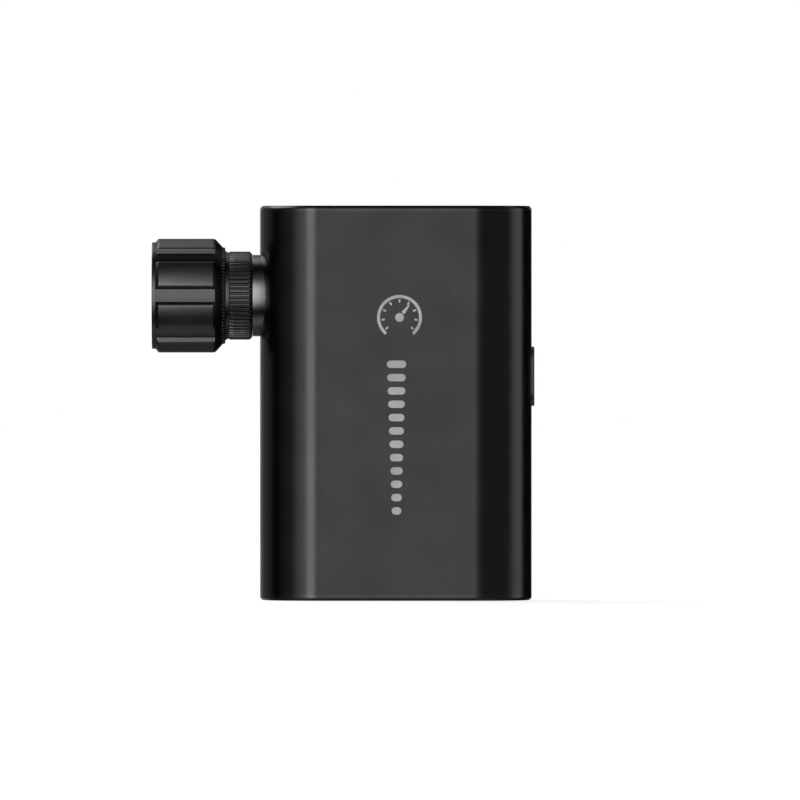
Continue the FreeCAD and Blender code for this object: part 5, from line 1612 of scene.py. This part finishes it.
@dataclass
class Grip:
    """The ribbed sleeve over the chuck's barrel."""

    ribs: int = 8
    crest_half: float = math.radians(11.5)
    edge_radius: float = 0.45 * MM
    edge_turn: float = math.radians(65.0)
    radius: float = 9.55 * MM
    cone_radius: float = 9.38 * MM
    floor: float = 8.8 * MM
    tail_radius: float = 8.12 * MM
    rear: float = -28.66 * MM
    ribs_rear: float = -29.81 * MM
    ribs_front: float = -39.61 * MM
    front: float = -40.23 * MM
    lip: float = -39.63 * MM
    mouth: float = 4.9 * MM
    bore: float = 7.03 * MM
    nose_edge: float = 0.2 * MM
    chamfer_length: float = 0.5 * MM
    chamfer_height: float = 0.65 * MM
    rear_slope: float = 0.3 * MM
    cone_edge: float = 0.14 * MM
    tail_edge: float = 0.06 * MM
    tip_edges: tuple[float, float] = (0.12 * MM, 0.08 * MM)
    mouth_edge: float = 0.08 * MM
    lip_gap: float = 0.03 * MM
    hair: float = 0.01 * MM

    def section(self) -> tuple[Array, Array, Array]:
        """The ribbed section as angles, radii and how near each point is to a rib's edge.

        Half a rib runs along the round crest, round an arc tangent to it that turns by
        edge_turn, straight down to the floor and along the floor's circle.

        Returns:
            Angles, radii and edge shares of the whole ring.
        """
        crest = np.linspace(0.0, self.crest_half, 6)
        centre = (self.radius - self.edge_radius) * np.exp(1j * self.crest_half)
        share = np.linspace(0.0, 1.0, 10)[1:]
        arc = centre + self.edge_radius * np.exp(1j * (self.crest_half + share * self.edge_turn))
        heading = np.exp(1j * (self.crest_half + self.edge_turn + RIGHT_ANGLE))
        along = (arc[-1] * np.conj(heading)).real
        reach = -along - math.sqrt(along**2 - abs(arc[-1]) ** 2 + self.floor**2)
        foot = arc[-1] + reach * heading
        half_pitch = math.pi / self.ribs
        ground = np.linspace(np.angle(foot), half_pitch, 6)[1:]
        angle = np.concatenate([crest, np.angle(arc), [np.angle(foot)], ground])
        size = np.concatenate([np.full(6, self.radius), np.abs(arc), [self.floor], np.full(5, self.floor)])
        near = np.concatenate([np.linspace(0.1, 1.0, 6) ** 3, 1 - share**2, [0.0], np.zeros(5)])
        angle = np.concatenate([-angle[:0:-1], angle[:-1]])
        size = np.concatenate([size[:0:-1], size[:-1]])
        near = np.concatenate([near[:0:-1], near[:-1]])
        starts = (np.arange(self.ribs) + 0.5) * 2 * half_pitch
        whole = (starts[:, None] + angle[None]).reshape(-1)
        return whole, np.tile(size, self.ribs), np.tile(near, self.ribs)

    def build(self, shelf: FinishShelf) -> None:
        """Makes the sleeve: rows of (x, radius), each the lesser of its own and the ribs' radius.

        Args:
            shelf: the finishes.
        """
        angles, ribbed, near = self.section()
        tail = rounded_profile(
            [
                (self.rear, self.bore, 0.0),
                (self.rear, self.tail_radius, self.tail_edge),
                (self.ribs_rear, self.cone_radius, self.cone_edge),
                (self.ribs_rear - 2 * self.hair, self.floor, 0.0),
            ],
            4,
            closed=False,
        )[:-1]
        tip = rounded_profile(
            [
                (self.ribs_rear, self.radius, 0.0),
                (self.ribs_front + self.chamfer_length, self.radius, self.tip_edges[0]),
                (self.ribs_front, self.radius - self.chamfer_height, self.tip_edges[1]),
                (self.ribs_front, self.floor - self.hair, 0.0),
            ],
            4,
            closed=False,
        )[1:]
        behind = np.array([0.02, 0.08, 0.16, 0.24, 0.3, 0.36, 0.6]) * MM
        slope = (self.radius - self.cone_radius) * np.clip(behind / self.rear_slope, 0.0, 1.0)
        run = np.column_stack([self.ribs_rear - behind, self.cone_radius + slope])
        nose = rounded_profile(
            [
                (self.ribs_front - self.hair, self.floor, 0.0),
                (self.front, self.floor, self.nose_edge),
                (self.front, self.mouth, self.mouth_edge),
                (self.lip - self.lip_gap, self.mouth, 0.0),
                (self.lip - self.lip_gap, self.bore, 0.0),
            ],
            5,
            closed=False,
        )
        rows = np.concatenate([tail, run, tip, nose])
        radius = np.repeat(rows[:, 1:], len(angles), axis=1)
        first, last = len(tail), len(tail) + len(run) + len(tip)
        radius[first:last] = np.minimum(radius[first:last], ribbed[None])
        edge = np.zeros_like(radius)
        edge[first:last] = near[None]
        edge[first - 4 : first] = 0.5
        surface = grid_surface(rings(rows[:, 0], radius, angles), True, edge)
        piece = Pieces.new("ribbed_grip", surface.mesh("ribbed_grip"))
        Pieces.crease(piece, 42.0)
        Pieces.place(piece, "cap", "anodised_grip", shelf["anodised_grip"], ["grip_sleeve"])


# ---------------------------------------------------------------- button and front mark
@dataclass
class Button:
    """The power button: a key with a rounded edge and the flange that keeps it in."""

    key: Stadium = field(default_factory=lambda: Stadium(9.8 * MM, 4.2 * MM, 32))
    z: float = 36.9 * MM
    front: float = 22.85 * MM
    edge: float = 0.18 * MM
    flange: float = 0.8 * MM
    flange_front: float = 20.7 * MM
    back: float = 20.05 * MM
    rows_in: tuple[float, float] = (1.2 * MM, 0.4 * MM)

    def build(self, shelf: FinishShelf) -> None:
        """Makes the button from (inset, x) rows and puts it in place.

        Args:
            shelf: the finishes.
        """
        turn = np.linspace(0.0, RIGHT_ANGLE, 8)
        r = self.edge
        rounding = np.column_stack([r - r * np.sin(turn), self.front - r + r * np.cos(turn)])
        rows = np.concatenate(
            [
                [[self.rows_in[0], self.front], [self.rows_in[1], self.front]],
                rounding,
                [[0.0, self.flange_front], [-self.flange, self.flange_front], [-self.flange, self.back]],
            ]
        )
        grid = self.key.along_x(rows, self.z)
        wear = np.zeros(len(rows))
        wear[2:10] = np.sin(turn * 2) * 0.8
        surface = grid_surface(grid, False, np.broadcast_to(wear[:, None], grid.shape[:2]))
        piece = Pieces.new("power_key", surface.mesh("power_key"))
        Pieces.crease(piece, 35.0)
        Pieces.place(piece, "button", "button_grey", shelf["button_grey"], ["power_button"])


@dataclass
class FrontMark:
    """Generic printed mark: a pressure dial over a ladder of level bars."""

    dial_x: float = 0.6 * MM
    dial_z: float = 46.6 * MM
    dial_radius: float = 3.7 * MM
    stroke: float = 0.5 * MM
    ladder_x: float = 0.1 * MM
    ladder_width: float = 3.2 * MM
    ladder_top: float = 40.0 * MM
    ladder_bottom: float = 13.7 * MM
    bars: int = 12
    face_y: float = -14.0 * MM
    film: float = 0.012 * MM
    sweep: tuple[float, float] = (-50.0, 230.0)
    hub_radius: float = 0.72 * MM
    hub_hole: float = 0.0005 * MM
    needle_angle: float = 52.0
    needle_start: float = 0.9 * MM
    needle_gap: float = 1.1 * MM
    needle_widths: tuple[float, float] = (0.62 * MM, 0.2 * MM)
    ticks: int = 9
    tick_sweep: tuple[float, float] = (-40.0, 220.0)
    tick_gaps: tuple[float, float] = (1.25 * MM, 0.72 * MM)
    tick_width: float = 0.3 * MM
    bar_share: float = 0.56

    def plate(self, outline: Array) -> Surface:
        """A thin plate on the front face from a closed (x, z) outline.

        Args:
            outline: points shaped (n, 2).

        Returns:
            The plate's surface.
        """
        outer = np.full(len(outline), self.face_y - self.film)
        inner = np.full(len(outline), self.face_y + self.film)
        rows = [np.column_stack([outline[:, 0], y, outline[:, 1]]) for y in (outer, inner)]
        return grid_surface(np.stack(rows), tube=False)

    def arc_band(self, inner: float, outer: float, start: float, stop: float) -> Surface:
        """Part of a ring about the dial's middle, between two angles in degrees.

        Args:
            inner: inner radius.
            outer: outer radius.
            start: first angle.
            stop: last angle.

        Returns:
            The band's surface.
        """
        angle = np.radians(np.linspace(start, stop, 73))
        way = np.column_stack([np.cos(angle), np.sin(angle)])
        outline = np.concatenate([way * outer, way[::-1] * inner]) + [self.dial_x, self.dial_z]
        return self.strip(outline)

    def strip(self, outline: Array) -> Surface:
        """A thin plate from a bent strip whose second half runs back beside the first.

        Args:
            outline: (x, z) points shaped (2n, 2).

        Returns:
            The plate's surface.
        """
        half = len(outline) // 2
        outer, inner = outline[:half], outline[half:][::-1]
        front, back = self.face_y - self.film, self.face_y + self.film
        rows = []
        for side, y in ((outer, front), (inner, front), (inner, back), (outer, back)):
            rows.append(np.column_stack([side[:, 0], np.full(half, y), side[:, 1]]))
        grid = np.stack(rows, axis=1)
        return grid_surface(grid, tube=False)

    def bar(self, x: float, z: float, wide: float, tall: float) -> Surface:
        """A rounded bar lying across the ladder.

        Args:
            x: its middle in X.
            z: its middle in Z.
            wide: its width.
            tall: its height.

        Returns:
            The bar's surface.
        """
        loop = Stadium(wide, tall, 8).loop()
        outline = loop.carried(np.zeros((1, 2)))[0][:, :2][:, ::-1] + [x, z]
        return self.plate(outline)

    def spoke(self, degrees: float, inner: float, outer: float, wide: float, tip: float) -> Surface:
        """A straight stroke away from the dial's middle, from one width to another.

        Args:
            degrees: its direction from +X.
            inner: where it starts.
            outer: where it ends.
            wide: its width at the start.
            tip: its width at the end.

        Returns:
            The stroke's surface.
        """
        way = np.array([math.cos(math.radians(degrees)), math.sin(math.radians(degrees))])
        side = np.array([-way[1], way[0]])
        middle = np.array([self.dial_x, self.dial_z])
        ends = [(inner, wide, 1), (outer, tip, 1), (outer, tip, -1), (inner, wide, -1)]
        outline = np.array([middle + way * r + side * w * s / 2 for r, w, s in ends])
        return self.plate(outline)

    def build(self, shelf: FinishShelf) -> None:
        """Makes the mark as one piece of thin plates that stand a hundredth of a millimetre proud.

        Args:
            shelf: the finishes.
        """
        r = self.dial_radius
        plates = [
            self.arc_band(r - self.stroke, r, *self.sweep),
            self.arc_band(self.hub_hole, self.hub_radius, 0.0, 359.0),
            self.spoke(self.needle_angle, self.needle_start, r - self.needle_gap, *self.needle_widths),
        ]
        far, near = self.tick_gaps
        for degrees in np.linspace(*self.tick_sweep, self.ticks):
            plates.append(self.spoke(float(degrees), r - far, r - near, self.tick_width, self.tick_width))
        pitch = (self.ladder_top - self.ladder_bottom) / self.bars
        tall = self.bar_share * pitch
        for i in range(self.bars):
            wide = self.ladder_width * (0.5 + 0.5 * i / (self.bars - 1))
            z = self.ladder_bottom + (i + 0.5) * pitch
            plates.append(self.bar(self.ladder_x, z, wide, tall))
        piece = Pieces.new("front_mark", joined(plates).mesh("front_mark"))
        piece.data.shade_flat()
        Pieces.place(piece, "housing", "anodised_body", shelf["print_silver"])


# ---------------------------------------------------------------- studio
@dataclass(frozen=True)
class SoftBox:
    """One soft light in the surroundings.

    Angles are in degrees: azimuth to the left of the camera's side, elevation above level.
    It is full within the inner half sizes and fades smoothly to nothing at the outer ones.
    """

    azimuth: float
    elevation: float
    inner_wide: float
    outer_wide: float
    inner_tall: float
    outer_tall: float
    power: float


@dataclass
class Studio:
    """Pale floor, soft surroundings and the camera."""

    lights: tuple[SoftBox, ...] = (
        SoftBox(3.0, 5.0, 3.0, 20.0, 5.0, 38.0, 0.64),
        SoftBox(4.0, 42.0, 8.0, 30.0, 8.0, 34.0, 0.16),
        SoftBox(13.5, 5.0, 6.0, 13.0, 10.0, 46.0, 2.3),
        SoftBox(30.0, 5.0, 4.0, 30.0, 12.0, 46.0, 0.90),
        SoftBox(60.0, 5.0, 5.0, 50.0, 14.0, 46.0, 0.17),
        SoftBox(150.0, 5.0, 20.0, 50.0, 14.0, 46.0, 0.11),
        SoftBox(175.0, 5.0, 6.0, 20.0, 14.0, 46.0, 0.25),
        SoftBox(-55.0, 5.0, 22.0, 60.0, 14.0, 40.0, 0.16),
        SoftBox(-110.0, 0.0, 7.0, 30.0, 14.0, 38.0, 0.85),
        SoftBox(135.0, 44.0, 12.0, 34.0, 12.0, 26.0, 2.6),
        SoftBox(180.0, 58.0, 30.0, 60.0, 8.0, 26.0, 0.7),
        SoftBox(0.0, -78.0, 90.0, 179.0, 6.0, 26.0, 0.36),
        SoftBox(180.0, -56.0, 60.0, 90.0, 12.0, 30.0, 0.14),
    )
    focus: Vector = (0.68 * MM, 0.0, 32.98 * MM)
    distance: float = 4.0
    elevation: float = 0.2
    lens: float = 1091.0
    sensor: float = 36.0
    floor_half: float = 6.0
    floor_steps: int = 8
    floor_glow: float = 0.8
    floor_grey: float = 0.8

    @staticmethod
    def box_group() -> bpy.types.NodeTree:
        """The group for one soft box: two smooth fades of the angular distances, multiplied.

        Returns:
            The group, which puts out Light.
        """
        labels = ["Azimuth", "Elevation", "At azimuth", "At elevation", "Inner wide", "Outer wide"]
        labels += ["Inner tall", "Outer tall", "Power"]
        graph, given, wanted = new_group("soft_box", [], labels, ["Light"])
        turn = graph.maths("SUBTRACT", given["Azimuth"], given["At azimuth"])
        away = graph.maths("ABSOLUTE", graph.maths("WRAP", turn, 180.0, -180.0))
        rise = graph.maths("ABSOLUTE", graph.maths("SUBTRACT", given["Elevation"], given["At elevation"]))
        wide = graph.spread(away, 0.0, 1.0, 1.0, 0.0)
        tall = graph.spread(rise, 0.0, 1.0, 1.0, 0.0)
        for fade, low, high in ((wide, "Inner wide", "Outer wide"), (tall, "Inner tall", "Outer tall")):
            graph.feed(fade.node.inputs[1], given[low])
            graph.feed(fade.node.inputs[2], given[high])
        graph.feed(wanted["Light"], graph.times(graph.times(wide, tall), given["Power"]))
        return graph.tree

    def light_room(self) -> None:
        """Surroundings: the sum of the soft boxes, behind a white backdrop for the camera."""
        world = bpy.data.worlds.new("studio")
        world.use_nodes = True
        world.node_tree.nodes.clear()
        graph = Graph(world.node_tree)
        way = graph.node("ShaderNodeTexCoord").outputs["Generated"]
        parts = graph.node("ShaderNodeSeparateXYZ", {0: way}).outputs
        left = graph.times(parts[0], -1.0)
        near = graph.times(parts[1], -1.0)
        azimuth = graph.maths("DEGREES", graph.maths("ARCTAN2", left, near))
        elevation = graph.maths("DEGREES", graph.maths("ARCSINE", parts[2]))
        group = self.box_group()
        total = None
        for light in self.lights:
            box = graph.node("ShaderNodeGroup", node_tree=group)
            values = (azimuth, elevation, light.azimuth, light.elevation, light.inner_wide, light.outer_wide)
            values += (light.inner_tall, light.outer_tall, light.power)
            for socket, value in zip(box.inputs, values):
                graph.feed(socket, value)
            total = box.outputs[0] if total is None else graph.plus(total, box.outputs[0])
        room = graph.node("ShaderNodeBackground", {"Strength": total})
        backdrop = graph.node("ShaderNodeBackground", {"Color": WHITE, "Strength": 1.0})
        seen = graph.node("ShaderNodeLightPath").outputs["Is Camera Ray"]
        mixed = graph.node("ShaderNodeMixShader", {0: seen, 1: room.outputs[0], 2: backdrop.outputs[0]})
        graph.node("ShaderNodeOutputWorld", {"Surface": mixed.outputs[0]})
        bpy.context.scene.world = world
        bpy.context.scene.view_settings.view_transform = "Standard"

    def lay_floor(self) -> None:
        """A broad pale floor under the pump, with a soft shadow where the pump stands."""
        along = np.linspace(-self.floor_half, self.floor_half, self.floor_steps + 1)
        u, v = np.meshgrid(along, along, indexing="ij")
        points = np.stack([u, v, np.zeros_like(u)], axis=-1).reshape(-1, 3)
        index = np.arange(u.size).reshape(u.shape)
        quads = np.stack([index[:-1, :-1], index[1:, :-1], index[1:, 1:], index[:-1, 1:]], axis=-1)
        mesh = bpy.data.meshes.new("floor")
        mesh.from_pydata(points.tolist(), [], quads.reshape(-1, 4).tolist())
        mesh.update()
        floor = Pieces.new("floor", mesh)
        material = bpy.data.materials.new("pale_floor")
        material.use_nodes = True
        material.node_tree.nodes.clear()
        graph = Graph(material.node_tree)
        glow = graph.node("ShaderNodeEmission", {"Color": WHITE, "Strength": self.floor_glow})
        matt = graph.node("ShaderNodeBsdfDiffuse", {"Color": grey(self.floor_grey)})
        pale = graph.node("ShaderNodeAddShader", {0: glow.outputs[0], 1: matt.outputs[0]})
        open_air = graph.node("ShaderNodeBsdfTransparent")
        seen = graph.node("ShaderNodeLightPath").outputs["Is Camera Ray"]
        mixed = graph.node("ShaderNodeMixShader", {0: seen, 1: open_air.outputs[0], 2: pale.outputs[0]})
        graph.node("ShaderNodeOutputMaterial", {"Surface": mixed.outputs[0]})
        floor.data.materials.append(material)

    def set_camera(self) -> None:
        """A long lens, level with the pump, that looks at the middle of its front."""
        data = bpy.data.cameras.new("camera")
        data.lens = self.lens
        data.sensor_width = self.sensor
        data.clip_start = 0.01
        data.clip_end = 50.0
        camera = bpy.data.objects.new("camera", data)
        tilt = math.radians(self.elevation)
        x, y, z = self.focus
        camera.location = (x, y - self.distance * math.cos(tilt), z + self.distance * math.sin(tilt))
        camera.rotation_euler = (RIGHT_ANGLE - tilt, 0.0, 0.0)
        bpy.context.scene.collection.objects.link(camera)
        bpy.context.scene.camera = camera

    def build(self) -> None:
        """Sets up the room, the floor and the camera."""
        self.light_room()
        self.lay_floor()
        self.set_camera()
        log.info("studio: %d soft boxes", len(self.lights))


def packed_slots() -> dict[str, str]:
    """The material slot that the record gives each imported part.

    Returns:
        Slot names by node name.
    """
    slots = {}
    for part in frame["record"]["subparts"]:
        slots[part["node"]] = part["material_slot"]
    return slots


def main() -> None:
    """Builds every piece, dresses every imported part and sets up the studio."""
    logging.basicConfig(level=logging.INFO, format="%(name)s %(message)s", force=True)
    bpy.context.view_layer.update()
    shelf = FinishShelf()
    for assembly in (Housing(), Chuck(), Grip(), Button(), FrontMark()):
        assembly.build(shelf)
    shelf.dress_packed(packed_slots())
    Studio().build()


if __name__ == "__main__":
    main()
